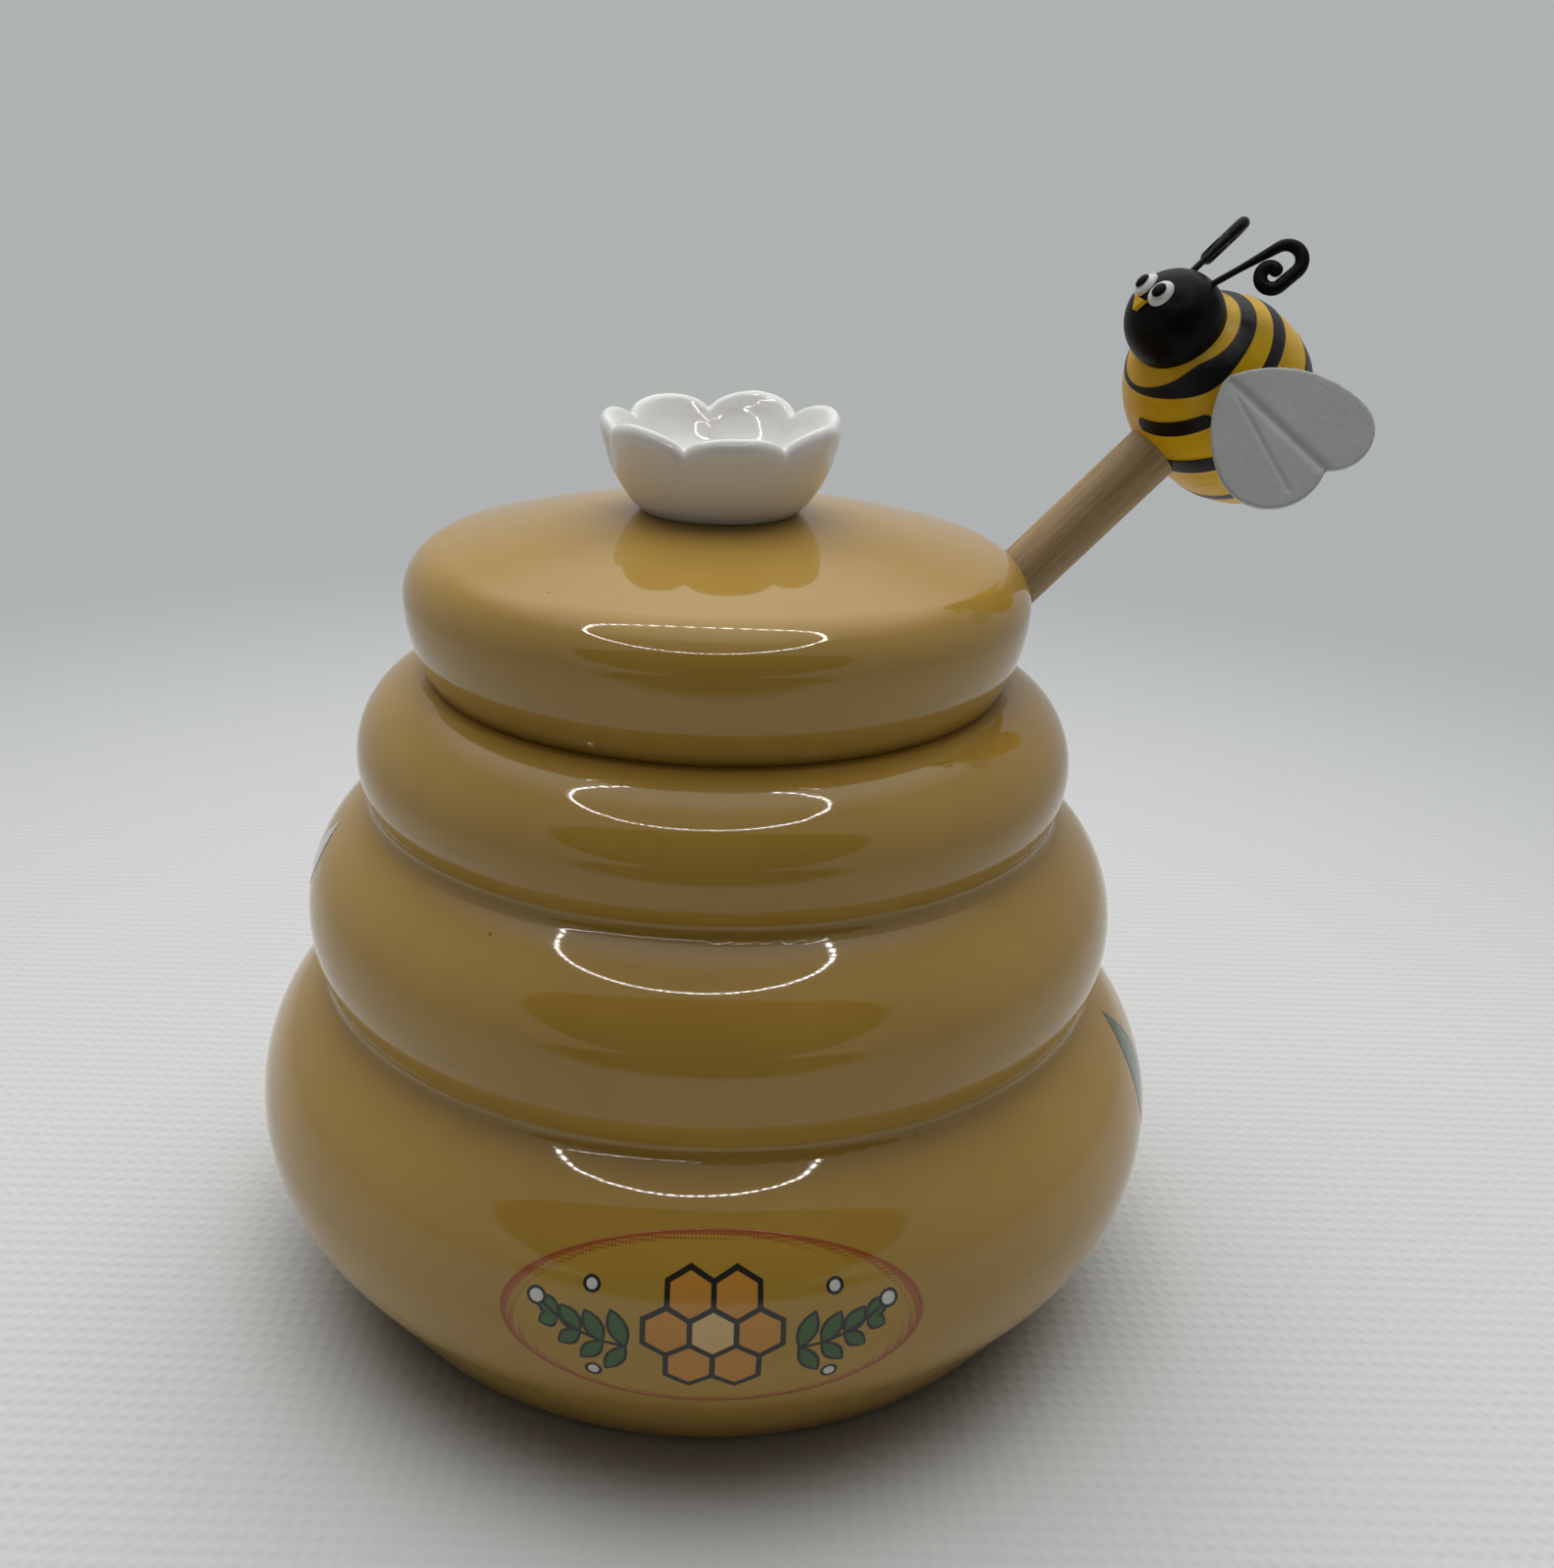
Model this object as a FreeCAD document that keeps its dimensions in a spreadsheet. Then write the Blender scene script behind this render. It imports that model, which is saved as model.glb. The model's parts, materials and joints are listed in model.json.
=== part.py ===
"""Honey pot: a three-tier glazed pot with a lift-off lid, a flower knob and a dipper with a bee on its end.

The origin is the middle of the flat foot, +Z is up, and the front of the pot faces -Y.
Lengths are millimetres and angles are degrees.
"""
import FreeCAD
import Part
import Sketcher
import math
import os
from collections import namedtuple
from types import SimpleNamespace

SIZES = {
    # Pot: three bulging tiers, each an arc that is widest at its own height
    "foot_step": 12.4,
    "foot_edge": 1.5,
    "belly_radius": 60.0,
    "belly_height": 23.7,
    "belly_low_arc": 20.5,
    "belly_top_arc": 21.5,
    "middle_step": 7.5,
    "middle_arc": 15.9,
    "middle_nest_ratio": 0.7112,
    "upper_step": 7.1,
    "upper_arc": 10.0,
    "upper_nest_ratio": 0.7915,
    "crease_arc": 1.8,
    "pot_wall": 5.2,
    "pot_floor": 5.0,
    "lip_wall": 4.0,
    "belly_bore_half": 6.5,
    "middle_bore_drop": 9.3,
    "middle_bore_rise": 5.7,
    "upper_bore_drop": 5.8,
    "floor_inset": 7.8,
    "rim_flat_depth": 0.2,
    # Lid: a flattened dome with a locating flange that drops into the mouth
    "lid_overhang": 3.4,
    "lid_widest_rise": 10.2,
    "lid_rise": 20.5,
    "lid_low_arc": 18.9,
    "lid_edge_arc": 6.0,
    "lid_wall": 4.0,
    "lid_hollow_corner": 7.0,
    "flange_drop": 5.0,
    "flange_wall": 3.0,
    "flange_gap": 0.8,
    "notch_gap": 0.8,
    # Knob: seven cupped petals round a button
    "petal_count": 7,
    "petal_turn": 71.6,
    "petal_half_length": 8.0,
    "petal_half_width": 6.9,
    "petal_half_thick": 2.7,
    "petal_tilt": 35.0,
    "petal_ring": 10.4,
    "petal_rise": 4.7,
    "knob_foot_radius": 9.4,
    "knob_waist_radius": 12.4,
    "knob_waist_rise": 5.0,
    "knob_recess": 0.35,
    "cup_radius": 12.5,
    "cup_half_depth": 9.6,
    "cup_rise": 12.8,
    "button_radius": 3.4,
    "button_rise": 2.0,
    "button_arc": 4.6,
    "button_recess": 0.6,
    # Dipper: a turned head on a dowel that leans on the rim
    "dipper_azimuth": 10.0,
    "rod_diameter": 7.3,
    "rest_gap": 0.3,
    "head_wall_gap": 8.287,
    "head_radius": 11.0,
    "head_straight": 20.0,
    "head_neck_wall": 2.2,
    "head_socket_depth": 16.0,
    "head_groove_count": 5,
    "head_groove_pitch": 4.6,
    "head_groove_width": 2.4,
    "head_groove_depth": 3.4,
    # Bee on the end of the dowel
    "bee_reach": 45.36,
    "bee_turn": 19.0,
    "bee_radius": 11.2,
    "bee_front": 13.1,
    "bee_tail": 18.5,
    "bee_head_radius": 6.0,
    "bee_head_reach": 13.3,
    "eye_half_height": 1.7,
    "eye_half_width": 1.35,
    "eye_half_thick": 0.8,
    "eye_spread_angle": 14.5,
    "eye_lift_angle": -3.0,
    "pupil_half_height": 0.95,
    "pupil_half_width": 0.75,
    "nose_side_count": 3,
    "nose_radius": 1.0,
    "nose_thick": 1.6,
    "nose_drop_angle": 23.0,
    "antenna_wire": 1.3,
    "antenna_sink": 1.0,
    "antenna_spread_angle": 43.0,
    "antenna_lift_angle": 56.0,
    "antenna_splay_angle": 49.0,
    "antenna_top_arc": 1.8,
    "antenna_top_out": 4.3,
    "antenna_top_up": 8.6,
    "antenna_low_arc": 1.35,
    "antenna_low_out": 4.6,
    "antenna_low_up": 6.2,
    "antenna_tip": 2.0,
    "wing_thick": 1.2,
    "wing_root_arc": 2.4,
    "wing_fore_arc": 4.6,
    "wing_fore_out": 13.1,
    "wing_fore_up": 4.2,
    "wing_hind_arc": 6.3,
    "wing_hind_out": 10.3,
    "wing_hind_down": 2.5,
    "wing_edge_arc": 14.0,
    "wing_left_flare_angle": 50.0,
    "wing_left_forward": 8.6,
    "wing_left_side": 8.7,
    "wing_left_up": -1.4,
    "wing_right_flare_angle": 40.0,
    "wing_right_forward": 4.2,
    "wing_right_side": 10.2,
    "wing_right_up": 4.0,
    # Shared
    "glue_gap": 0.1,
    "cut_overrun": 5.0,
}
QUARTER_TURN = 90
HALF_TURN = 180
FULL_TURN = 360
START, END, CENTRE = range(1, 4)
ORIGIN = (-1, 1)

Edge = namedtuple("Edge", "index first last")


class Size:
    """A number with the sheet expression that gives it, so that sums of sizes stay bound to the sheet."""

    def __init__(self, number, text):
        self.number = number
        self.text = text

    def __float__(self):
        return float(self.number)

    def __add__(self, other):
        return Size(float(self) + float(other), f"({self.text} + {text(other)})")

    def __sub__(self, other):
        return Size(float(self) - float(other), f"({self.text} - {text(other)})")

    def __mul__(self, other):
        return Size(float(self) * float(other), f"({self.text} * {text(other)})")

    def __truediv__(self, other):
        return Size(float(self) / float(other), f"({self.text} / {text(other)})")

    def __neg__(self):
        return Size(-float(self), f"(-{self.text})")

    def __radd__(self, other):
        return Size(float(other), text(other)) + self

    def __rsub__(self, other):
        return Size(float(other), text(other)) - self

    def __rtruediv__(self, other):
        return Size(float(other), text(other)) / self

    __rmul__ = __mul__


def text(value):
    """The expression for a size, or the digits of a plain number."""
    return value.text if isinstance(value, Size) else repr(value)


def sine(angle):
    return Size(math.sin(math.radians(float(angle))), f"sin({text(angle)})")


def cosine(angle):
    return Size(math.cos(math.radians(float(angle))), f"cos({text(angle)})")


def root(value):
    return Size(math.sqrt(float(value)), f"sqrt({text(value)})")


def arcsine(value):
    return Size(math.degrees(math.asin(float(value))), f"(asin({text(value)}) / 1 deg)")


def arctangent(value):
    return Size(math.degrees(math.atan(float(value))), f"(atan({text(value)}) / 1 deg)")


def make_sheet():
    """Put every driving size in the sheet and return them as Size values."""
    sheet = doc.addObject("Spreadsheet::Sheet", "Sizes")
    for row, (name, number) in enumerate(SIZES.items(), 1):
        sheet.set(f"A{row}", name)
        sheet.set(f"B{row}", str(number))
        sheet.setAlias(f"B{row}", name)
    doc.recompute()
    return SimpleNamespace(**{name: Size(sheet.get(name), f"Sizes.{name}") for name in SIZES})


def add_derived(**sizes):
    """Write sizes that follow from the driving ones into the sheet, and return them by their names there."""
    sheet = doc.getObject("Sizes")
    for row, (name, size) in enumerate(sizes.items(), len(SIZES) + 1):
        sheet.set(f"A{row}", name)
        sheet.set(f"B{row}", "=" + size.text.replace("Sizes.", ""))
        sheet.setAlias(f"B{row}", name)
    doc.recompute()
    return [Size(sheet.get(name), f"Sizes.{name}") for name in sizes]


# Places, written as sheet expressions

def shift(x, y, z):
    return f"placement(vector({text(x)}; {text(y)}; {text(z)}); rotation(vector(0; 0; 1); 0))"


def turn(axis, angle):
    vector = {"x": "1; 0; 0", "y": "0; 1; 0", "z": "0; 0; 1"}[axis]
    return f"placement(vector(0; 0; 0); rotation(vector({vector}); {text(angle)}))"


def chain(*places):
    return " * ".join(places)


# Solids from primitives

def primitive(kind, name, place, **sizes):
    solid = doc.addObject("Part::" + kind, name)
    for prop, size in sizes.items():
        solid.setExpression(prop, text(size))
    solid.setExpression("Placement", place)
    return solid


def ellipsoid(name, place, along, across, sideways, **angles):
    return primitive("Ellipsoid", name, place, Radius1=along, Radius2=across, Radius3=sideways, **angles)


def fuse(name, *shapes):
    union = doc.addObject("Part::MultiFuse", name)
    union.Shapes = list(shapes)
    return union


def cut(name, base, *tools):
    result = doc.addObject("Part::Cut", name)
    result.Base = base
    result.Tool = tools[0] if len(tools) == 1 else fuse(name + "_tools", *tools)
    return result


def common(name, base, tool):
    result = doc.addObject("Part::Common", name)
    result.Base = base
    result.Tool = tool
    return result


# Bodies from sketches

def new_body(name, place):
    body = doc.addObject("PartDesign::Body", name)
    body.setExpression("Placement", place)
    return body


def new_sketch(body, name, role, offset=None):
    """A sketch on one of the body's origin planes, moved by an offset expression if one is given."""
    sketch = body.newObject("Sketcher::SketchObject", name)
    plane = next(item for item in body.Origin.OriginFeatures if item.Role == role)
    sketch.AttachmentSupport = [(plane, "")]
    sketch.MapMode = "FlatFace"
    if offset:
        sketch.setExpression("AttachmentOffset", offset)
    return sketch


def flat(point):
    return FreeCAD.Vector(float(point[0]), float(point[1]), 0)


def line(sketch, start, end):
    return Edge(sketch.addGeometry(Part.LineSegment(flat(start), flat(end))), START, END)


def arc(sketch, centre, radius, begin, finish):
    """An arc from one angle to another, either way round."""
    low, high = sorted((math.radians(begin), math.radians(finish)))
    circle = Part.Circle(flat(centre), FreeCAD.Vector(0, 0, 1), float(radius))
    index = sketch.addGeometry(Part.ArcOfCircle(circle, low, high))
    return Edge(index, START, END) if begin < finish else Edge(index, END, START)


def fix(sketch, kind, where, size):
    """Add a dimension and bind it to its size."""
    number = sketch.addConstraint(Sketcher.Constraint(kind, *where, float(size)))
    sketch.setExpression(f"Constraints[{number}]", text(size))


def fix_point(sketch, index, place, point):
    for kind, size in zip(("DistanceX", "DistanceY"), point):
        if isinstance(size, Size):
            fix(sketch, kind, (*ORIGIN, index, place), size)
        elif size == 0:
            axis = -2 if kind == "DistanceX" else -1
            sketch.addConstraint(Sketcher.Constraint("PointOnObject", index, place, axis))


def fix_arc(sketch, edge, centre, radius):
    """Fix an arc's radius, and each coordinate of its centre that is given."""
    fix_point(sketch, edge.index, CENTRE, centre)
    fix(sketch, "Radius", (edge.index,), radius)


def link(sketch, kind, edges):
    """Join each edge's end to the next one's start."""
    for before, after in zip(edges, edges[1:]):
        sketch.addConstraint(Sketcher.Constraint(kind, before.index, before.last, after.index, after.first))


def square(sketch, kind, *edges):
    for edge in edges:
        sketch.addConstraint(Sketcher.Constraint(kind, edge.index))


def revolve(body, name, sketch, kind="Revolution"):
    feature = body.newObject("PartDesign::" + kind, name)
    feature.Profile = sketch
    feature.ReferenceAxis = (sketch, ["V_Axis"])
    feature.Angle = FULL_TURN
    return feature


def bearing(centre, point):
    """Angle in degrees from one point to another."""
    return math.degrees(math.atan2(float(point[1]) - float(centre[1]), float(point[0]) - float(centre[0])))


def crossing(first, first_reach, second, second_reach):
    """The point at given distances from two centres, on the left going from the first to the second."""
    start = flat(first)
    step = flat(second) - start
    gap = step.Length
    along = (float(first_reach) ** 2 - float(second_reach) ** 2 + gap ** 2) / (gap + gap)
    aside = math.sqrt(float(first_reach) ** 2 - along ** 2)
    step.normalize()
    found = start + step * along + FreeCAD.Vector(-step.y, step.x, 0) * aside
    return found.x, found.y


def radial(centre, radius, angle):
    """The point of a circle at an angle in degrees."""
    turn_by = math.radians(angle)
    return (float(centre[0]) + float(radius) * math.cos(turn_by),
            float(centre[1]) + float(radius) * math.sin(turn_by))


def make_pot():
    """The pot's wall section, turned about the axis: round tiers outside, straight tapers inside."""
    body = new_body("pot_body", shift(0, 0, 0))
    sketch = new_sketch(body, "pot_section", "XZ_Plane")
    foot = (FOOT_RADIUS, S.foot_edge)
    low = (S.belly_radius - S.belly_low_arc, S.belly_height)
    top = (S.belly_radius - S.belly_top_arc, S.belly_height)
    middle = (MIDDLE_RADIUS - S.middle_arc, MIDDLE_HEIGHT)
    upper = (LIP_RADIUS, UPPER_HEIGHT)
    first = crossing(middle, S.middle_arc + S.crease_arc, top, S.belly_top_arc + S.crease_arc)
    second = crossing(upper, S.upper_arc + S.crease_arc, middle, S.middle_arc + S.crease_arc)
    span = flat(low) - flat(foot)
    taper = bearing(foot, low) - math.degrees(
        math.acos(float(S.foot_edge - S.belly_low_arc) / span.Length))
    reach = float(S.upper_arc - S.rim_flat_depth) / float(S.upper_arc)
    rim = math.degrees(math.asin(reach))
    lip_arc = S.lip_wall / 2
    lip = (LIP_RADIUS, LIP_HEIGHT)
    lip_end = HALF_TURN - math.degrees(math.asin(float(lip_arc - S.rim_flat_depth) / float(lip_arc)))

    base = line(sketch, (0, 0), (foot[0], 0))
    foot_round = arc(sketch, foot, S.foot_edge, -QUARTER_TURN, taper)
    flank = line(sketch, radial(foot, S.foot_edge, taper), radial(low, S.belly_low_arc, taper))
    low_out = arc(sketch, low, S.belly_low_arc, taper, 0)
    top_out = arc(sketch, top, S.belly_top_arc, 0, bearing(top, first))
    crease_low = arc(sketch, first, S.crease_arc, bearing(top, first) + HALF_TURN,
                     bearing(middle, first) + HALF_TURN)
    middle_out = arc(sketch, middle, S.middle_arc, bearing(middle, first), bearing(middle, second))
    crease_high = arc(sketch, second, S.crease_arc, bearing(middle, second) + HALF_TURN,
                      bearing(upper, second) + HALF_TURN)
    upper_out = arc(sketch, upper, S.upper_arc, bearing(upper, second), rim)
    rim_flat = line(sketch, radial(upper, S.upper_arc, rim), radial(lip, lip_arc, lip_end))
    lip_round = arc(sketch, lip, lip_arc, lip_end, HALF_TURN)
    corners = [(MOUTH, LIP_HEIGHT),
               (UPPER_RADIUS - S.pot_wall, UPPER_HEIGHT),
               (UPPER_RADIUS - S.pot_wall, UPPER_HEIGHT - S.upper_bore_drop),
               (MIDDLE_RADIUS - S.pot_wall, MIDDLE_HEIGHT + S.middle_bore_rise),
               (MIDDLE_RADIUS - S.pot_wall, MIDDLE_HEIGHT - S.middle_bore_drop),
               (S.belly_radius - S.pot_wall, S.belly_height + S.belly_bore_half),
               (S.belly_radius - S.pot_wall, S.belly_height - S.belly_bore_half),
               (S.belly_radius - S.pot_wall - S.floor_inset, S.pot_floor),
               (0, S.pot_floor)]
    inside = [line(sketch, start, end) for start, end in zip(corners, corners[1:])]
    axis = line(sketch, corners[-1], (0, 0))

    link(sketch, "Tangent", [base, foot_round, flank, low_out, top_out, crease_low, middle_out, crease_high,
                             upper_out])
    link(sketch, "Coincident", [upper_out, rim_flat, lip_round, *inside, axis, base])
    square(sketch, "Horizontal", base, rim_flat)
    fix_point(sketch, base.index, START, (0, 0))
    fix_point(sketch, rim_flat.index, START, (None, SEAT))
    fix_arc(sketch, foot_round, (FOOT_RADIUS, None), S.foot_edge)
    fix_arc(sketch, low_out, low, S.belly_low_arc)
    fix_arc(sketch, top_out, (None, S.belly_height), S.belly_top_arc)
    fix_arc(sketch, middle_out, middle, S.middle_arc)
    fix_arc(sketch, upper_out, upper, S.upper_arc)
    for crease in (crease_low, crease_high):
        fix_arc(sketch, crease, (None, None), S.crease_arc)
    fix_arc(sketch, lip_round, lip, lip_arc)
    fix_point(sketch, inside[0].index, START, (None, LIP_HEIGHT))
    for edge, corner in zip(inside, corners[1:]):
        fix_point(sketch, edge.index, END, corner)
    revolve(body, "pot_turned", sketch)
    return body


def make_lid():
    """The dome with its flange, turned, then notched along the dipper so that it lifts straight off."""
    body = new_body("lid", turn("z", S.dipper_azimuth))
    sketch = new_sketch(body, "lid_section", "XZ_Plane")
    widest = SEAT + S.lid_widest_rise
    peak = SEAT + S.lid_rise
    low = (LID_RADIUS - S.lid_low_arc, widest)
    edge = (LID_RADIUS - S.lid_edge_arc, widest)
    flange = MOUTH - S.flange_gap
    hollow = flange - S.flange_wall
    bottom = SEAT - S.flange_drop
    drop = float(S.lid_rise - S.lid_widest_rise)
    dome_arc = ((float(edge[0]) ** 2 + drop ** 2 - float(S.lid_edge_arc) ** 2)
                / (drop + drop - float(S.lid_edge_arc + S.lid_edge_arc)))
    dome = (0, float(peak) - dome_arc)
    bend = bearing(dome, edge)
    seat_angle = math.degrees(math.asin(float(SEAT - widest) / float(S.lid_low_arc)))
    inner_arc = dome_arc - float(S.lid_wall)
    corner_x = hollow - S.lid_hollow_corner
    corner_reach = inner_arc - float(S.lid_hollow_corner)
    corner = (corner_x, dome[1] + math.sqrt(corner_reach ** 2 - float(corner_x) ** 2))
    inner_bend = bearing(dome, corner)

    seat = line(sketch, (flange, SEAT), radial(low, S.lid_low_arc, seat_angle))
    low_out = arc(sketch, low, S.lid_low_arc, seat_angle, 0)
    edge_out = arc(sketch, edge, S.lid_edge_arc, 0, bend)
    dome_out = arc(sketch, dome, dome_arc, bend, QUARTER_TURN)
    axis = line(sketch, (0, peak), (0, peak - S.lid_wall))
    dome_in = arc(sketch, dome, inner_arc, QUARTER_TURN, inner_bend)
    corner_in = arc(sketch, corner, S.lid_hollow_corner, inner_bend, 0)
    hollow_side = line(sketch, (hollow, corner[1]), (hollow, bottom))
    flange_end = line(sketch, (hollow, bottom), (flange, bottom))
    flange_side = line(sketch, (flange, bottom), (flange, SEAT))

    link(sketch, "Coincident", [seat, low_out])
    link(sketch, "Tangent", [low_out, edge_out, dome_out])
    link(sketch, "Coincident", [dome_out, axis, dome_in])
    link(sketch, "Tangent", [dome_in, corner_in, hollow_side])
    link(sketch, "Coincident", [hollow_side, flange_end, flange_side, seat])
    square(sketch, "Horizontal", seat, flange_end)
    square(sketch, "Vertical", hollow_side, flange_side)
    fix_arc(sketch, low_out, low, S.lid_low_arc)
    fix_arc(sketch, edge_out, (None, widest), S.lid_edge_arc)
    fix_point(sketch, dome_out.index, CENTRE, (0, None))
    sketch.addConstraint(Sketcher.Constraint("Coincident", dome_out.index, CENTRE, dome_in.index, CENTRE))
    fix_point(sketch, axis.index, START, (0, peak))
    fix_point(sketch, axis.index, END, (0, peak - S.lid_wall))
    fix_arc(sketch, corner_in, (None, None), S.lid_hollow_corner)
    fix_point(sketch, flange_end.index, START, (hollow, bottom))
    fix_point(sketch, flange_side.index, END, (flange, SEAT))
    revolve(body, "lid_turned", sketch)
    cut_knob_seat(body)
    cut_notch(body)
    return body


def cut_knob_seat(body):
    """A flat let into the crown, where the knob stands, clear of the knob's flaring side."""
    sketch = new_sketch(body, "knob_seat", "XY_Plane", shift(0, 0, KNOB_BASE))
    flare = (S.knob_waist_radius - S.knob_foot_radius) / S.knob_waist_rise
    reach = S.knob_foot_radius + S.knob_recess * flare + S.glue_gap
    index = sketch.addGeometry(Part.Circle(flat((0, 0)), FreeCAD.Vector(0, 0, 1), float(reach)))
    fix_point(sketch, index, CENTRE, (0, 0))
    fix(sketch, "Radius", (index,), reach)
    pocket = body.newObject("PartDesign::Pocket", "knob_seat_cut")
    pocket.Profile = sketch
    pocket.Reversed = True
    pocket.setExpression("Length", text(S.knob_recess + S.cut_overrun))


def cut_notch(body):
    """A slot with a round crown over the dowel, open outward and down."""
    above = S.lid_rise + S.cut_overrun
    centre = AXIS_X + (SEAT + above - AXIS_Z) * LEAN_RUN
    place = chain(shift(centre, 0, SEAT + above), turn("y", LEAN))
    sketch = new_sketch(body, "notch_outline", "XY_Plane", place)
    radius = ROD_RADIUS + S.notch_gap
    run = LID_RADIUS
    crown = arc(sketch, (0, 0), radius, QUARTER_TURN, HALF_TURN + QUARTER_TURN)
    near = line(sketch, (0, -radius), (run, -radius))
    mouth = line(sketch, (run, -radius), (run, radius))
    far = line(sketch, (run, radius), (0, radius))
    link(sketch, "Tangent", [crown, near])
    link(sketch, "Coincident", [near, mouth, far])
    link(sketch, "Tangent", [far, crown])
    square(sketch, "Horizontal", near)
    square(sketch, "Vertical", mouth)
    fix_arc(sketch, crown, (0, 0), radius)
    fix_point(sketch, mouth.index, START, (run, None))
    pocket = body.newObject("PartDesign::Pocket", "notch_cut")
    pocket.Profile = sketch
    pocket.setExpression("Length", text((above + S.flange_drop + S.cut_overrun) / cosine(LEAN)))


def make_flower():
    """Seven thick petals on a waisted foot, hollowed by one cup, with a flat for the button."""
    petals = []
    for number in range(int(float(S.petal_count))):
        angle = S.petal_turn + number * FULL_TURN / S.petal_count
        place = chain(shift(0, 0, KNOB_BASE), turn("z", angle), shift(S.petal_ring, 0, S.petal_rise),
                      turn("y", S.petal_tilt))
        petals.append(ellipsoid(f"petal_{number}", place, S.petal_half_length, S.petal_half_thick,
                                S.petal_half_width))
    base = shift(0, 0, KNOB_BASE)
    foot = primitive("Cone", "knob_foot", base, Radius1=S.knob_foot_radius, Radius2=S.knob_waist_radius,
                     Height=S.knob_waist_rise)
    reach = S.petal_ring + S.petal_half_length + S.petal_half_thick
    keep = primitive("Cylinder", "knob_keep", base, Radius=reach, Height=reach + S.petal_rise)
    cup = ellipsoid("knob_cup", shift(0, 0, KNOB_BASE + S.cup_rise), S.cup_half_depth, S.cup_radius,
                    S.cup_radius)
    pit = primitive("Cylinder", "button_pit", shift(0, 0, BUTTON_BASE), Radius=S.button_radius + S.glue_gap,
                    Height=S.cup_rise)
    whole = common("knob_whole", fuse("knob_petals", foot, *petals), keep)
    return cut("flower_knob", whole, cup, pit)


def make_button():
    """The low round button in the middle of the flower."""
    ball = primitive("Sphere", "button_ball", shift(0, 0, BUTTON_BASE + S.button_rise - S.button_arc),
                     Radius=S.button_arc)
    keep = primitive("Cylinder", "button_keep", shift(0, 0, BUTTON_BASE), Radius=S.button_radius,
                     Height=S.button_rise + S.button_arc)
    return common("flower_button", keep, ball)


def make_rod():
    """The dowel, glued into the head at one end and into the bee at the other."""
    start = HEAD_TOP - S.head_socket_depth
    return primitive("Cylinder", "dipper_rod", chain(ROD_FRAME, shift(0, 0, start)), Radius=ROD_RADIUS,
                     Height=BEE_DISTANCE - start)


def make_head():
    """The turned dipper head: a round end, a straight barrel with ring grooves, and a socketed neck."""
    body = new_body("dipper_head", ROD_FRAME)
    sketch = new_sketch(body, "head_section", "XZ_Plane")
    socket = ROD_RADIUS + S.glue_gap
    neck = socket + S.head_neck_wall
    shoulder = S.head_radius - neck
    pit = HEAD_TOP - S.head_socket_depth

    end_round = arc(sketch, (0, 0), S.head_radius, -QUARTER_TURN, 0)
    barrel = line(sketch, (S.head_radius, 0), (S.head_radius, S.head_straight))
    shoulder_round = arc(sketch, (neck, S.head_straight), shoulder, 0, QUARTER_TURN)
    rim = line(sketch, (neck, HEAD_TOP), (socket, HEAD_TOP))
    socket_side = line(sketch, (socket, HEAD_TOP), (socket, pit))
    socket_end = line(sketch, (socket, pit), (0, pit))
    axis = line(sketch, (0, pit), (0, -S.head_radius))

    link(sketch, "Tangent", [end_round, barrel, shoulder_round])
    link(sketch, "Coincident", [shoulder_round, rim, socket_side, socket_end, axis, end_round])
    square(sketch, "Vertical", socket_side, axis)
    square(sketch, "Horizontal", rim, socket_end)
    fix_arc(sketch, end_round, (0, 0), S.head_radius)
    fix_arc(sketch, shoulder_round, (None, S.head_straight), shoulder)
    fix_point(sketch, rim.index, START, (neck, None))
    fix_point(sketch, socket_side.index, END, (socket, pit))
    fix_point(sketch, axis.index, START, (0, None))
    revolve(body, "head_turned", sketch)
    cut_grooves(body)
    return body


def cut_grooves(body):
    """One round-bottomed ring groove, repeated along the barrel."""
    sketch = new_sketch(body, "groove_section", "XZ_Plane")
    half = S.head_groove_width / 2
    span = S.head_groove_pitch * (S.head_groove_count - 1)
    level = (S.head_straight - span) / 2
    depth = S.head_radius - S.head_groove_depth + half
    out = S.head_radius + S.cut_overrun
    bottom = arc(sketch, (depth, level), half, QUARTER_TURN, HALF_TURN + QUARTER_TURN)
    low = line(sketch, (depth, level - half), (out, level - half))
    side = line(sketch, (out, level - half), (out, level + half))
    high = line(sketch, (out, level + half), (depth, level + half))
    link(sketch, "Tangent", [bottom, low])
    link(sketch, "Coincident", [low, side, high])
    link(sketch, "Tangent", [high, bottom])
    square(sketch, "Horizontal", low)
    square(sketch, "Vertical", side)
    fix_arc(sketch, bottom, (depth, level), half)
    fix_point(sketch, side.index, START, (out, None))
    groove = revolve(body, "ring_groove", sketch, "Groove")
    pattern = body.newObject("PartDesign::LinearPattern", "ring_grooves")
    pattern.Originals = [groove]
    pattern.Direction = (sketch, ["V_Axis"])
    pattern.setExpression("Length", text(span))
    pattern.setExpression("Occurrences", text(S.head_groove_count))
    body.Tip = pattern


def egg(name, growth):
    """The bee's egg-shaped body, blunt in front and longer behind, grown all round by an allowance."""
    across = S.bee_radius + growth
    front = ellipsoid(name + "_front", BEE_ALONG, S.bee_front + growth, across, across, Angle1=0)
    tail = ellipsoid(name + "_tail", BEE_ALONG, S.bee_tail + growth, across, across, Angle2=0)
    return fuse(name, front, tail)


def ball(name, growth):
    """The bee's round head, grown by an allowance, with its seam at the back."""
    place = chain(HEAD_FRAME, turn("z", HALF_TURN))
    return primitive("Sphere", name, place, Radius=S.bee_head_radius + growth)


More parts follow.
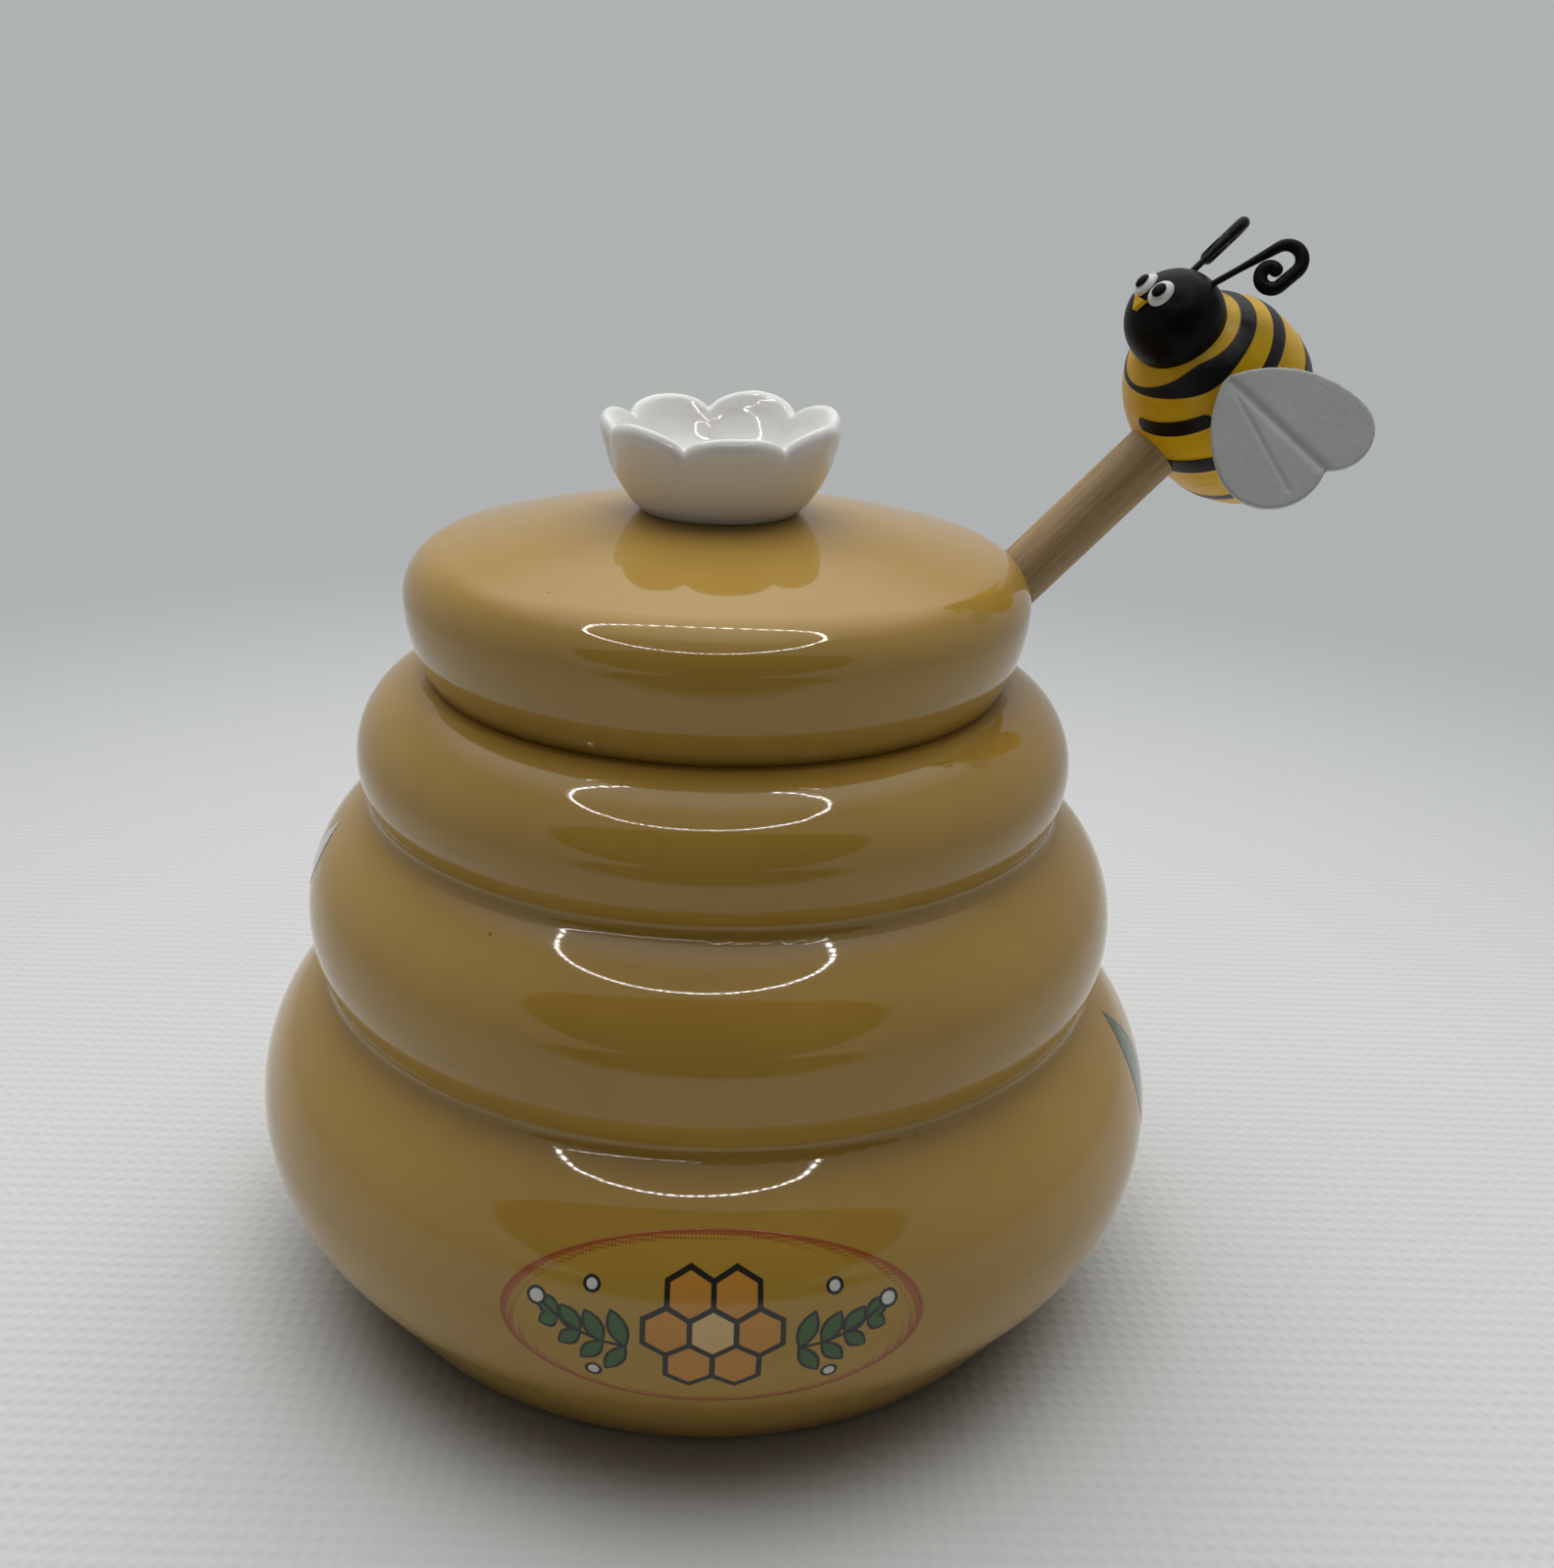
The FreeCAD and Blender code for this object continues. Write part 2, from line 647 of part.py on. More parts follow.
def make_bee():
    """The painted figure on the dowel's end: body, head, face, antennae and wings."""
    bore = primitive("Cylinder", "bee_bore", ROD_FRAME, Radius=ROD_RADIUS + S.glue_gap,
                     Height=BEE_DISTANCE)
    nodes = [cut("bee_body", egg("bee_egg", 0), bore, ball("bee_head_seat", S.glue_gap)),
             ball("bee_head", 0)]
    eyes, pupils = [], []
    for side, sign in (("left", 1), ("right", -1)):
        face = chain(HEAD_FRAME, turn("z", S.eye_spread_angle * sign), turn("y", -S.eye_lift_angle),
                     shift(S.bee_head_radius, 0, 0))
        eyes.append(cut(f"bee_eye_{side}", eye(f"eye_{side}", face, 0),
                        ball(f"eye_seat_{side}", S.glue_gap)))
        front = chain(face, shift(S.eye_half_thick, 0, 0))
        pupil = ellipsoid(f"pupil_{side}", front, S.pupil_half_height, S.eye_half_thick / 2,
                          S.pupil_half_width)
        pupils.append(cut(f"bee_pupil_{side}", pupil, eye(f"pupil_seat_{side}", face, S.glue_gap)))
        nodes.append(make_antenna(side, sign))
    nodes += [make_wing("left", 1, S.wing_left_forward, S.wing_left_side, S.wing_left_up,
                        S.wing_left_flare_angle),
              make_wing("right", -1, S.wing_right_forward, S.wing_right_side, S.wing_right_up,
                        S.wing_right_flare_angle)]
    place = chain(HEAD_FRAME, turn("y", S.nose_drop_angle),
                  shift(S.bee_head_radius - S.nose_thick / 2, 0, 0), turn("y", QUARTER_TURN))
    nose = primitive("Prism", "nose", place, Polygon=S.nose_side_count, Circumradius=S.nose_radius,
                     Height=S.nose_thick)
    nodes.append(cut("bee_nose", nose, ball("nose_seat", S.glue_gap)))
    return nodes + eyes + pupils


def eye(name, place, growth):
    return ellipsoid(name, place, S.eye_half_height + growth, S.eye_half_thick + growth,
                     S.eye_half_width + growth)


def make_antenna(side, sign):
    """A wire that rises from the head, bends over backward and outward, and curls in on itself."""
    place = chain(HEAD_FRAME, turn("z", S.antenna_spread_angle * sign), turn("y", -S.antenna_lift_angle),
                  shift(S.bee_head_radius - S.antenna_sink, 0, 0), turn("y", S.antenna_lift_angle),
                  turn("z", (HALF_TURN - S.antenna_splay_angle - S.antenna_spread_angle) * sign))
    body = new_body(f"antenna_{side}_wire", place)
    path = new_sketch(body, f"antenna_{side}_path", "XZ_Plane")
    top = (S.antenna_top_out, S.antenna_top_up)
    low = (S.antenna_low_out, S.antenna_low_up)
    lean = math.acos(float(S.antenna_top_arc) / flat(top).Length)
    rise = bearing((0, 0), top) + HALF_TURN - math.degrees(lean)
    swing = math.acos(float(S.antenna_low_arc - S.antenna_top_arc) / (flat(top) - flat(low)).Length)
    fall = bearing(low, top) - math.degrees(swing)
    stalk = line(path, (0, 0), radial(top, S.antenna_top_arc, rise))
    over = arc(path, top, S.antenna_top_arc, rise, fall)
    down = line(path, radial(top, S.antenna_top_arc, fall), radial(low, S.antenna_low_arc, fall))
    under = arc(path, low, S.antenna_low_arc, fall, -HALF_TURN)
    end = (low[0] - S.antenna_low_arc, S.antenna_low_up + S.antenna_tip)
    tip = line(path, (end[0], low[1]), end)
    link(path, "Tangent", [stalk, over, down, under, tip])
    square(path, "Vertical", tip)
    fix_point(path, stalk.index, START, (0, 0))
    fix_arc(path, over, top, S.antenna_top_arc)
    fix_arc(path, under, low, S.antenna_low_arc)
    fix_point(path, tip.index, END, (None, end[1]))
    section = new_sketch(body, f"antenna_{side}_section", "XY_Plane")
    ring = Part.Circle(flat((0, 0)), FreeCAD.Vector(0, 0, 1), float(S.antenna_wire / 2))
    index = section.addGeometry(ring)
    fix_point(section, index, CENTRE, (0, 0))
    fix(section, "Diameter", (index,), S.antenna_wire)
    pipe = body.newObject("PartDesign::AdditivePipe", f"antenna_{side}_pipe")
    pipe.Profile = section
    pipe.Spine = path
    return cut(f"bee_antenna_{side}", body, ball(f"antenna_seat_{side}", S.glue_gap))


def make_wing(side, sign, forward, aside, up, flare):
    """A thin two-lobed wing, fanning from a shoulder of the body out and back."""
    place = chain(BEE_FRAME, shift(forward, aside * sign, up), turn("z", (HALF_TURN - flare) * sign),
                  turn("x", QUARTER_TURN))
    body = new_body(f"wing_{side}_blade", place)
    sketch = new_sketch(body, f"wing_{side}_outline", "XY_Plane")
    root = (S.wing_root_arc, 0)
    fore = (S.wing_fore_out, S.wing_fore_up)
    hind = (S.wing_hind_out, -S.wing_hind_down)
    root_reach = S.wing_edge_arc - S.wing_root_arc
    fore_edge = crossing(fore, S.wing_edge_arc - S.wing_fore_arc, root, root_reach)
    hind_edge = crossing(root, root_reach, hind, S.wing_edge_arc - S.wing_hind_arc)
    notch = crossing(fore, S.wing_fore_arc, hind, S.wing_hind_arc)
    fore_meet = bearing(fore_edge, fore)
    root_fore = bearing(fore_edge, root)
    root_hind = bearing(hind_edge, root) + FULL_TURN
    hind_meet = bearing(hind_edge, hind) + FULL_TURN

    fore_lobe = arc(sketch, fore, S.wing_fore_arc, bearing(fore, notch), fore_meet)
    fore_side = arc(sketch, fore_edge, S.wing_edge_arc, fore_meet, root_fore)
    root_round = arc(sketch, root, S.wing_root_arc, root_fore, root_hind)
    hind_side = arc(sketch, hind_edge, S.wing_edge_arc, root_hind, hind_meet)
    hind_lobe = arc(sketch, hind, S.wing_hind_arc, hind_meet, bearing(hind, notch) + FULL_TURN)
    link(sketch, "Tangent", [fore_lobe, fore_side, root_round, hind_side, hind_lobe])
    link(sketch, "Coincident", [hind_lobe, fore_lobe])
    fix_arc(sketch, fore_lobe, fore, S.wing_fore_arc)
    fix_arc(sketch, hind_lobe, hind, S.wing_hind_arc)
    fix_arc(sketch, root_round, root, S.wing_root_arc)
    fix_arc(sketch, fore_side, (None, None), S.wing_edge_arc)
    fix_arc(sketch, hind_side, (None, None), S.wing_edge_arc)
    pad = body.newObject("PartDesign::Pad", f"wing_{side}_pad")
    pad.Profile = sketch
    pad.setExpression("Length", text(S.wing_thick))
    pad.Midplane = True
    return cut(f"bee_wing_{side}", body, egg(f"wing_seat_{side}", S.glue_gap))


def check(nodes):
    """Stop if any object failed, or if a piece isn't a sound solid."""
    for item in doc.Objects:
        if {"Invalid", "Error"} & set(item.State):
            raise RuntimeError(f"{item.Label} failed: {item.State}")
    for node in nodes:
        if node.Shape.isNull() or not node.Shape.isValid() or not node.Shape.Solids:
            raise RuntimeError(f"{node.Label} has no sound solid")


doc = FreeCAD.newDocument("HoneyPot")
S = make_sheet()
ROD_RADIUS = S.rod_diameter / 2
FOOT_RADIUS = S.belly_radius - S.foot_step
MIDDLE_RADIUS = S.belly_radius - S.middle_step
UPPER_RADIUS = MIDDLE_RADIUS - S.upper_step
MIDDLE_HEIGHT = S.belly_height + (S.belly_top_arc + S.middle_arc) * S.middle_nest_ratio
UPPER_HEIGHT = MIDDLE_HEIGHT + (S.middle_arc + S.upper_arc) * S.upper_nest_ratio
SEAT = UPPER_HEIGHT + S.upper_arc - S.rim_flat_depth
LIP_RADIUS = UPPER_RADIUS - S.upper_arc
LIP_HEIGHT = UPPER_HEIGHT + S.upper_arc - S.lip_wall / 2
MOUTH = LIP_RADIUS - S.lip_wall / 2
LID_RADIUS = LIP_RADIUS + S.lid_overhang
KNOB_BASE = SEAT + S.lid_rise - S.knob_recess
BUTTON_BASE = KNOB_BASE + S.cup_rise - S.cup_half_depth - S.button_recess

# The dowel leans on the mouth's round lip, and its head stands on the floor, a little off the far wall
LIP_CLEAR = S.lip_wall / 2 + S.rest_gap + ROD_RADIUS
AXIS_X = S.head_radius + S.head_wall_gap + S.pot_wall - S.belly_radius
AXIS_Z = S.pot_floor + S.rest_gap + S.head_radius
LIP_OUT = LIP_RADIUS - AXIS_X
LIP_UP = LIP_HEIGHT - AXIS_Z
LIP_AWAY = root(LIP_OUT * LIP_OUT + LIP_UP * LIP_UP)
LEAN, LIP_RUN = add_derived(dipper_lean=arctangent(LIP_OUT / LIP_UP) - arcsine(LIP_CLEAR / LIP_AWAY),
                            lip_run=root(LIP_AWAY * LIP_AWAY - LIP_CLEAR * LIP_CLEAR))
LEAN_RUN = sine(LEAN) / cosine(LEAN)
BEE_DISTANCE = LIP_RUN + S.bee_reach
ROD_FRAME = chain(turn("z", S.dipper_azimuth), shift(AXIS_X, 0, AXIS_Z), turn("y", LEAN))
HEAD_TOP = S.head_straight + S.head_radius - ROD_RADIUS - S.glue_gap - S.head_neck_wall

# In the bee's frame +X is forward and +Z is up; the egg lies along +X with its seam on top
BEE_FRAME = chain(ROD_FRAME, shift(0, 0, BEE_DISTANCE), turn("z", HALF_TURN + S.bee_turn))
BEE_ALONG = chain(BEE_FRAME, turn("y", QUARTER_TURN), turn("z", HALF_TURN))
HEAD_FRAME = chain(BEE_FRAME, shift(S.bee_head_reach, 0, 0))

NODES = [make_pot(), make_lid(), make_flower(), make_button(), make_rod(), make_head(), *make_bee()]
doc.recompute()
check(NODES)
os.makedirs("parts", exist_ok=True)
for node in NODES:
    node.Shape.exportStep(f"parts/{node.Label}.step")
    print(f"{node.Label}: {len(node.Shape.Solids)} solid, {node.Shape.Volume:.1f} cubic mm")
dowel = doc.getObject("dipper_rod").Placement.Rotation.multVec(FreeCAD.Vector(0, 0, 1))
print(f"the dowel points along {dowel.x:.8f}, {dowel.y:.8f}, {dowel.z:.8f}")
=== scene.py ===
# %% [markdown]
# This lesson dresses a honey pot. The CAD solids arrive first and stay in charge of every size and every
# movement. Blender then adds what solids lack: the painted bee, the cupped flower, the prints and the
# finishes.

# %% Load the CAD frame
import json
import math
import bpy
from mathutils import Matrix, Vector


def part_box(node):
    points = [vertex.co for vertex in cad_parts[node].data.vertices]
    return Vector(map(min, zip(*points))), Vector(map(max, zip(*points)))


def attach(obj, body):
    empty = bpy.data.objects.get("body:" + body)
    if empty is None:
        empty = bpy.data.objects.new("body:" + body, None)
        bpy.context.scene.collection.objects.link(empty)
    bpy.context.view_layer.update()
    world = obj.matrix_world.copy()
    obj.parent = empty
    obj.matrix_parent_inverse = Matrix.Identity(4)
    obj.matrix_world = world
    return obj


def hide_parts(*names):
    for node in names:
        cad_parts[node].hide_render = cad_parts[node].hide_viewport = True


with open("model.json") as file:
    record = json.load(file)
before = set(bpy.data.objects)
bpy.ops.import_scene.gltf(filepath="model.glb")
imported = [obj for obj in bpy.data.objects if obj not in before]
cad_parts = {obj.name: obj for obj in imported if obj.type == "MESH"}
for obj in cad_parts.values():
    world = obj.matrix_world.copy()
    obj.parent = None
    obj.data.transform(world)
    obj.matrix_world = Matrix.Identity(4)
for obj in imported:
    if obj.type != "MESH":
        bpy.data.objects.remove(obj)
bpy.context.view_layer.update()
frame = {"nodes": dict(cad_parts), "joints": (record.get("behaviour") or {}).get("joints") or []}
MM = 0.001

# %% [markdown]
# The photograph was taken from close by and a little above, so the pot's tiers show as shallow ovals. A
# long lens would flatten them. A camera at the same distance, height and tilt gives the same ovals.

# %% Camera
PHOTO_HEIGHT, POT_AXIS_ASIDE = 1600, 66.5
SENSOR_WIDTH, LENS = 36, 36
CAMERA_PLACE = (0, -0.1916, 0.1416)
CAMERA_TILT, CAMERA_ROLL = 67.99, 1.55


def turned(degrees, axis):
    """A turn about one axis."""
    return Matrix.Rotation(math.radians(degrees), 4, axis)


camera_data = bpy.data.cameras.new("camera")
camera_data.sensor_width = SENSOR_WIDTH
camera_data.lens = LENS
camera_data.shift_x = POT_AXIS_ASIDE / PHOTO_HEIGHT
camera = bpy.data.objects.new("camera", camera_data)
bpy.context.scene.collection.objects.link(camera)
camera.location = CAMERA_PLACE
camera.rotation_euler = (turned(CAMERA_TILT, "X") @ turned(CAMERA_ROLL, "Z")).to_euler()
bpy.context.scene.camera = camera
bpy.context.scene.view_settings.view_transform = "Standard"
print("camera is", round(camera.location.length / MM), "mm from the foot")

# %% [markdown]
# Every material below is a small network of nodes. These helpers keep the networks short to read. The
# first adds a node with its settings, the second joins sockets, and the others add one node and give what
# comes out of it.

# %% Helpers for node networks
def add_node(tree, kind, settings=None, **inputs):
    """Add a node; settings are its own properties, and inputs name its sockets with _ for a space."""
    node = tree.nodes.new("ShaderNode" + kind)
    for name, value in (settings or {}).items():
        setattr(node, name, value)
    for name, value in inputs.items():
        node.inputs[name.replace("_", " ")].default_value = value
    return node


def link(tree, *pairs):
    """Join sockets; each pair is an output and the input that it feeds."""
    for source, target in pairs:
        tree.links.new(source, target)


def in_range(tree, value, low, high, to_low=0.0, to_high=1.0, smooth=False):
    """Carry a value from one range to another, and stop at both ends."""
    curve = "SMOOTHSTEP" if smooth else "LINEAR"
    node = add_node(tree, "MapRange", {"interpolation_type": curve}, From_Min=low, From_Max=high,
                    To_Min=to_low, To_Max=to_high)
    link(tree, (value, node.inputs["Value"]))
    return node.outputs["Result"]


def reckon(tree, operation, *values):
    """Do a sum; each value is a number or a socket."""
    node = add_node(tree, "Math", {"operation": operation})
    for socket, value in zip(node.inputs, values):
        if isinstance(value, (int, float)):
            socket.default_value = value
        else:
            link(tree, (value, socket))
    return node.outputs["Value"]


def mix_colours(tree, mask, first, second):
    """Mix two colours by a mask; each colour is three numbers or a socket."""
    mix = add_node(tree, "Mix", {"data_type": "RGBA"})
    link(tree, (mask, mix.inputs["Factor"]))
    for label, colour in (("A", first), ("B", second)):
        if isinstance(colour, tuple):
            mix.inputs[label].default_value = (*colour, 1)
        else:
            link(tree, (colour, mix.inputs[label]))
    return mix.outputs["Result"]


# %% [markdown]
# The CAD frame already holds plain materials under the record's names. A finish is built inside the one
# that is there, so that its name stays the same, and a CAD node then wears it without any change to its
# mesh.

# %% Helpers for materials
def new_material(name, roughness):
    """Take the frame's material of that name, or a new one, and give its tree and its shader."""
    material = bpy.data.materials.get(name) or bpy.data.materials.new(name)
    material.use_nodes = True
    shader = material.node_tree.nodes["Principled BSDF"]
    shader.inputs["Roughness"].default_value = roughness
    return material.node_tree, shader


def wear(name, *nodes):
    """Put a material on CAD nodes, which keep their own meshes."""
    for node in nodes:
        frame["nodes"][node].material_slots[0].material = bpy.data.materials[name]
    print(name, "on", ", ".join(nodes))


# %% [markdown]
# Fired glaze and hand paint are never one even colour. They drift a little from place to place, and their
# skin is very slightly uneven, which breaks up reflections. One node group makes that drift, and each
# finish sets its scale.

# %% Shared group: uneven coat
COAT_INPUTS = {"Pale": "Color", "Deep": "Color", "Patch Scale": "Float", "Skin Scale": "Float",
               "Skin Depth": "Float"}
COAT_OUTPUTS = {"Color": "Color", "Patch": "Float", "Normal": "Vector"}
coat = bpy.data.node_groups.new("uneven_coat", "ShaderNodeTree")
for way, sockets in (("INPUT", COAT_INPUTS), ("OUTPUT", COAT_OUTPUTS)):
    for label, kind in sockets.items():
        coat.interface.new_socket(label, in_out=way, socket_type="NodeSocket" + kind)
entry = coat.nodes.new("NodeGroupInput")
leave = coat.nodes.new("NodeGroupOutput")
where = add_node(coat, "TexCoord")
patch = add_node(coat, "TexNoise", Detail=4.0, Roughness=0.6)
skin = add_node(coat, "TexNoise", Detail=2.0)
bump = add_node(coat, "Bump", Distance=0.001)
for noise, label in ((patch, "Patch Scale"), (skin, "Skin Scale")):
    link(coat, (where.outputs["Object"], noise.inputs["Vector"]),
         (entry.outputs[label], noise.inputs["Scale"]))
drift = in_range(coat, patch.outputs["Fac"], 0.3, 0.7)
tint = mix_colours(coat, drift, entry.outputs["Deep"], entry.outputs["Pale"])
link(coat, (skin.outputs["Fac"], bump.inputs["Height"]),
     (entry.outputs["Skin Depth"], bump.inputs["Strength"]),
     (tint, leave.inputs["Color"]), (drift, leave.inputs["Patch"]),
     (bump.outputs["Normal"], leave.inputs["Normal"]))
print("uneven coat has", len(coat.nodes), "nodes")

# %% Helpers: a coat in a material
def coat_group(tree, pale, deep, patch_scale, skin_scale, skin_depth):
    """Place the uneven coat in a material with values of its own."""
    return add_node(tree, "Group", {"node_tree": coat}, Pale=(*pale, 1), Deep=(*deep, 1),
                    Patch_Scale=patch_scale, Skin_Scale=skin_scale, Skin_Depth=skin_depth)


def coated(name, pale, deep, roughness, patch_scale, skin_scale, skin_depth):
    """A material whose colour, roughness and skin come from the uneven coat."""
    tree, shader = new_material(name, roughness)
    group = coat_group(tree, pale, deep, patch_scale, skin_scale, skin_depth)
    gloss = in_range(tree, group.outputs["Patch"], 0, 1, roughness * 1.15, roughness * 0.85)
    link(tree, (group.outputs["Color"], shader.inputs["Base Color"]), (gloss, shader.inputs["Roughness"]),
         (group.outputs["Normal"], shader.inputs["Normal"]))
    return tree, shader, group


# %% [markdown]
# The pot and its lid carry one glaze, a warm honey yellow with a wet shine. The CAD solids already have
# the true bulges and creases, so they stay, and only the glaze is added. A few pinhead specks in it, as
# the kiln leaves them, come from cells of which only some are picked.

# %% Honey glaze on the pot and the lid, orange on the button
SPECK_CELLS = 170.0
SPECK_BROWN = (0.13, 0.065, 0.01)
tree, shader, group = coated("honey_glaze", (0.45, 0.272, 0.050), (0.40, 0.234, 0.040), roughness=0.05,
                             patch_scale=40.0, skin_scale=55.0, skin_depth=0.010)
where = add_node(tree, "TexCoord")
cells = add_node(tree, "TexVoronoi", Scale=SPECK_CELLS)
chance = add_node(tree, "SeparateColor")
link(tree, (where.outputs["Object"], cells.inputs["Vector"]),
     (cells.outputs["Color"], chance.inputs["Color"]))
picked = in_range(tree, chance.outputs["Red"], 0.86, 0.88, to_high=0.7)
spot = in_range(tree, cells.outputs["Distance"], 0.050, 0.030)
speck = reckon(tree, "MULTIPLY", picked, spot)
speckled = mix_colours(tree, speck, group.outputs["Color"], SPECK_BROWN)
link(tree, (speckled, shader.inputs["Base Color"]))
wear("honey_glaze", "pot_body", "lid")
coated("orange_glaze", (0.80, 0.33, 0.04), (0.66, 0.22, 0.02), roughness=0.15,
       patch_scale=300.0, skin_scale=200.0, skin_depth=0.03)
wear("orange_glaze", "flower_button")

# %% [markdown]
# The dipper is turned from one pale hardwood. Wood has fine streaks that run along the dowel, so the
# noise is stretched along the dowel's own line. That line is the one that the dipper slides on.

# %% Wood along the dowel
WOOD_DARK, WOOD_PALE = (0.31, 0.195, 0.075), (0.46, 0.315, 0.135)
PORE_BROWN = (0.23, 0.13, 0.05)
STREAK_STRETCH = 0.06
rod_axis = Vector(next(j["axis"] for j in frame["joints"] if j["name"] == "dipper_draw")).normalized()
tree, shader = new_material("dowel_wood", 0.55)
where = add_node(tree, "TexCoord")
along = add_node(tree, "Mapping", {"vector_type": "TEXTURE"},
                 Rotation=rod_axis.to_track_quat("Z", "Y").to_euler())
squeeze = add_node(tree, "Mapping", Scale=(1, 1, STREAK_STRETCH))
streaks = add_node(tree, "TexNoise", Scale=1900.0, Detail=5.0, Roughness=0.65)
pores = add_node(tree, "TexNoise", Scale=2600.0, Detail=2.0)
tone = add_node(tree, "ValToRGB")
for stop, place, colour in zip(tone.color_ramp.elements, (0.32, 0.68), (WOOD_DARK, WOOD_PALE)):
    stop.position = place
    stop.color = (*colour, 1)
grain = add_node(tree, "Bump", Strength=0.25, Distance=0.0002)
link(tree, (where.outputs["Object"], along.inputs["Vector"]),
     (along.outputs["Vector"], squeeze.inputs["Vector"]),
     (squeeze.outputs["Vector"], streaks.inputs["Vector"]),
     (squeeze.outputs["Vector"], pores.inputs["Vector"]),
     (streaks.outputs["Fac"], tone.inputs["Fac"]), (streaks.outputs["Fac"], grain.inputs["Height"]),
     (grain.outputs["Normal"], shader.inputs["Normal"]))
fleck = in_range(tree, pores.outputs["Fac"], 0.60, 0.72, to_high=0.45)
link(tree, (mix_colours(tree, fleck, tone.outputs["Color"], PORE_BROWN), shader.inputs["Base Color"]))
wear("dowel_wood", "dipper_rod", "dipper_head")

# %% [markdown]
# Several pieces are skins that close on themselves: a flower, an egg, a curled horn. Each can start as a
# flat grid that is rolled up. The helper adds the grid, carries every point to its place, and welds the
# seam.

# %% Helpers: a rolled grid
SEAM_WELD = 1e-7


def finish_mesh(weld):
    """Weld doubled points of the active piece and turn all its faces outward."""
    bpy.ops.object.mode_set(mode="EDIT")
    bpy.ops.mesh.select_all(action="SELECT")
    bpy.ops.mesh.remove_doubles(threshold=weld)
    bpy.ops.mesh.normals_make_consistent(inside=False)
    bpy.ops.object.mode_set(mode="OBJECT")
    bpy.ops.object.shade_smooth()


def rolled_grid(name, columns, rows, place):
    """Add a flat grid and carry each point to place(u, v), where u and v run from 0 to 1."""
    bpy.ops.object.select_all(action="DESELECT")
    bpy.ops.mesh.primitive_grid_add(x_subdivisions=columns, y_subdivisions=rows, size=1, location=(0, 0, 0))
    piece = bpy.context.object
    piece.name = piece.data.name = name
    for point in piece.data.vertices:
        point.co = place(point.co.x + 0.5, point.co.y + 0.5)
    finish_mesh(SEAM_WELD)
    return piece


def dress(piece, material, body, slot, *nodes):
    """Give a new piece its material and its body, and hide the CAD nodes that it stands for."""
    piece.data.materials.clear()
    piece.data.materials.append(bpy.data.materials[material])
    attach(piece, body)
    if nodes:
        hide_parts(*nodes)
    print(piece.name, "has", len(piece.data.polygons), "faces and rides on", body)


# %% [markdown]
# The lid's knob is a thick white flower, cast in one piece: seven rounded petals with soft valleys
# between them, cupped round a hollow. A spun cup gives the wall, and pressing a valley into it between
# each pair of petals gives the flower. Each petal is a little different, because the clay was finished by
# hand.

# %% Flower knob: the cup and the petals
FLOWER_CUP = [(0, 0), (6, 0), (9.2, 0), (10.1, 0.5), (11.2, 1.6), (12.5, 3.6), (13.6, 5.8), (14.3, 8.0),
              (14.8, 9.8), (14.8, 10.9), (14.2, 11.6), (13.3, 11.3), (12.6, 10.2), (11.8, 8.6), (10.3, 6.6),
              (8.0, 4.9), (5.2, 3.9), (2.5, 3.3), (0, 3.2)]
PETALS, PETAL_TURN = 7, 71.6
PETAL_FOOT, PETAL_TOP = 1.5, 11
VALLEY_DROP, VALLEY_DEPTH, VALLEY_SHARPNESS = 2.8, 1.4, 0.96
OWN_RISE, OWN_REACH = 0.35, 0.3
LEAN_BACK = 0.55
flower_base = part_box("flower_knob")[0].z


def smoothstep(low, high, value):
    """A soft step from 0 at low to 1 at high."""
    step = min(max((value - low) / (high - low), 0), 1)
    return step * step * (3 - step - step)


def along_curve(points, share):
    """A point on a smooth curve through the points, at a share of the way from the first to the last."""
    last = len(points) - 1
    place = min(share * last, last - 1e-6)
    start = int(place)
    rest = place - start
    before, first, second, after = (Vector(points[min(max(start + k, 0), last)]) for k in (-1, 0, 1, 2))
    cubic = 3 * (first - second) + after - before
    square = 2 * before - 5 * first + 4 * second - after
    return first + 0.5 * rest * (second - before + rest * (square + rest * cubic))


def petal_point(u, v):
    """A point of the flower: round the cup by u, and along its outline by v."""
    angle = u * math.tau
    petal = (angle - math.radians(PETAL_TURN)) / (math.tau / PETALS)
    number = round(petal)
    aside = 2 * abs(petal - number)
    radius, rise = along_curve(FLOWER_CUP, v)
    lift = smoothstep(PETAL_FOOT, PETAL_TOP, rise)
    valley = 1 - math.sqrt(1 - (VALLEY_SHARPNESS * aside) ** 2)
    own = math.sin(2.4 * (number % PETALS) + 1) * (1 - aside)
    rise += lift * (OWN_RISE * own - VALLEY_DROP * valley + LEAN_BACK * math.sin(angle))
    radius += lift * (OWN_REACH * own - VALLEY_DEPTH * valley)
    spot = Vector((radius * math.cos(angle), radius * math.sin(angle), rise)) * MM
    return spot + Vector((0, 0, flower_base))


coated("white_glaze", (0.93, 0.925, 0.90), (0.90, 0.89, 0.86), roughness=0.05,
       patch_scale=150.0, skin_scale=180.0, skin_depth=0.03)
flower = rolled_grid("flower", PETALS * 32, 96, petal_point)
dress(flower, "white_glaze", "lid", "white_glaze", "flower_knob")

# %% [markdown]
# The bee sits on the dowel's upper end. Its own frame makes every later step simple: forward runs to the
# head, up runs along the dowel, and left completes the three. All of it is read from the CAD boxes, so
# the bee is where the solids are.

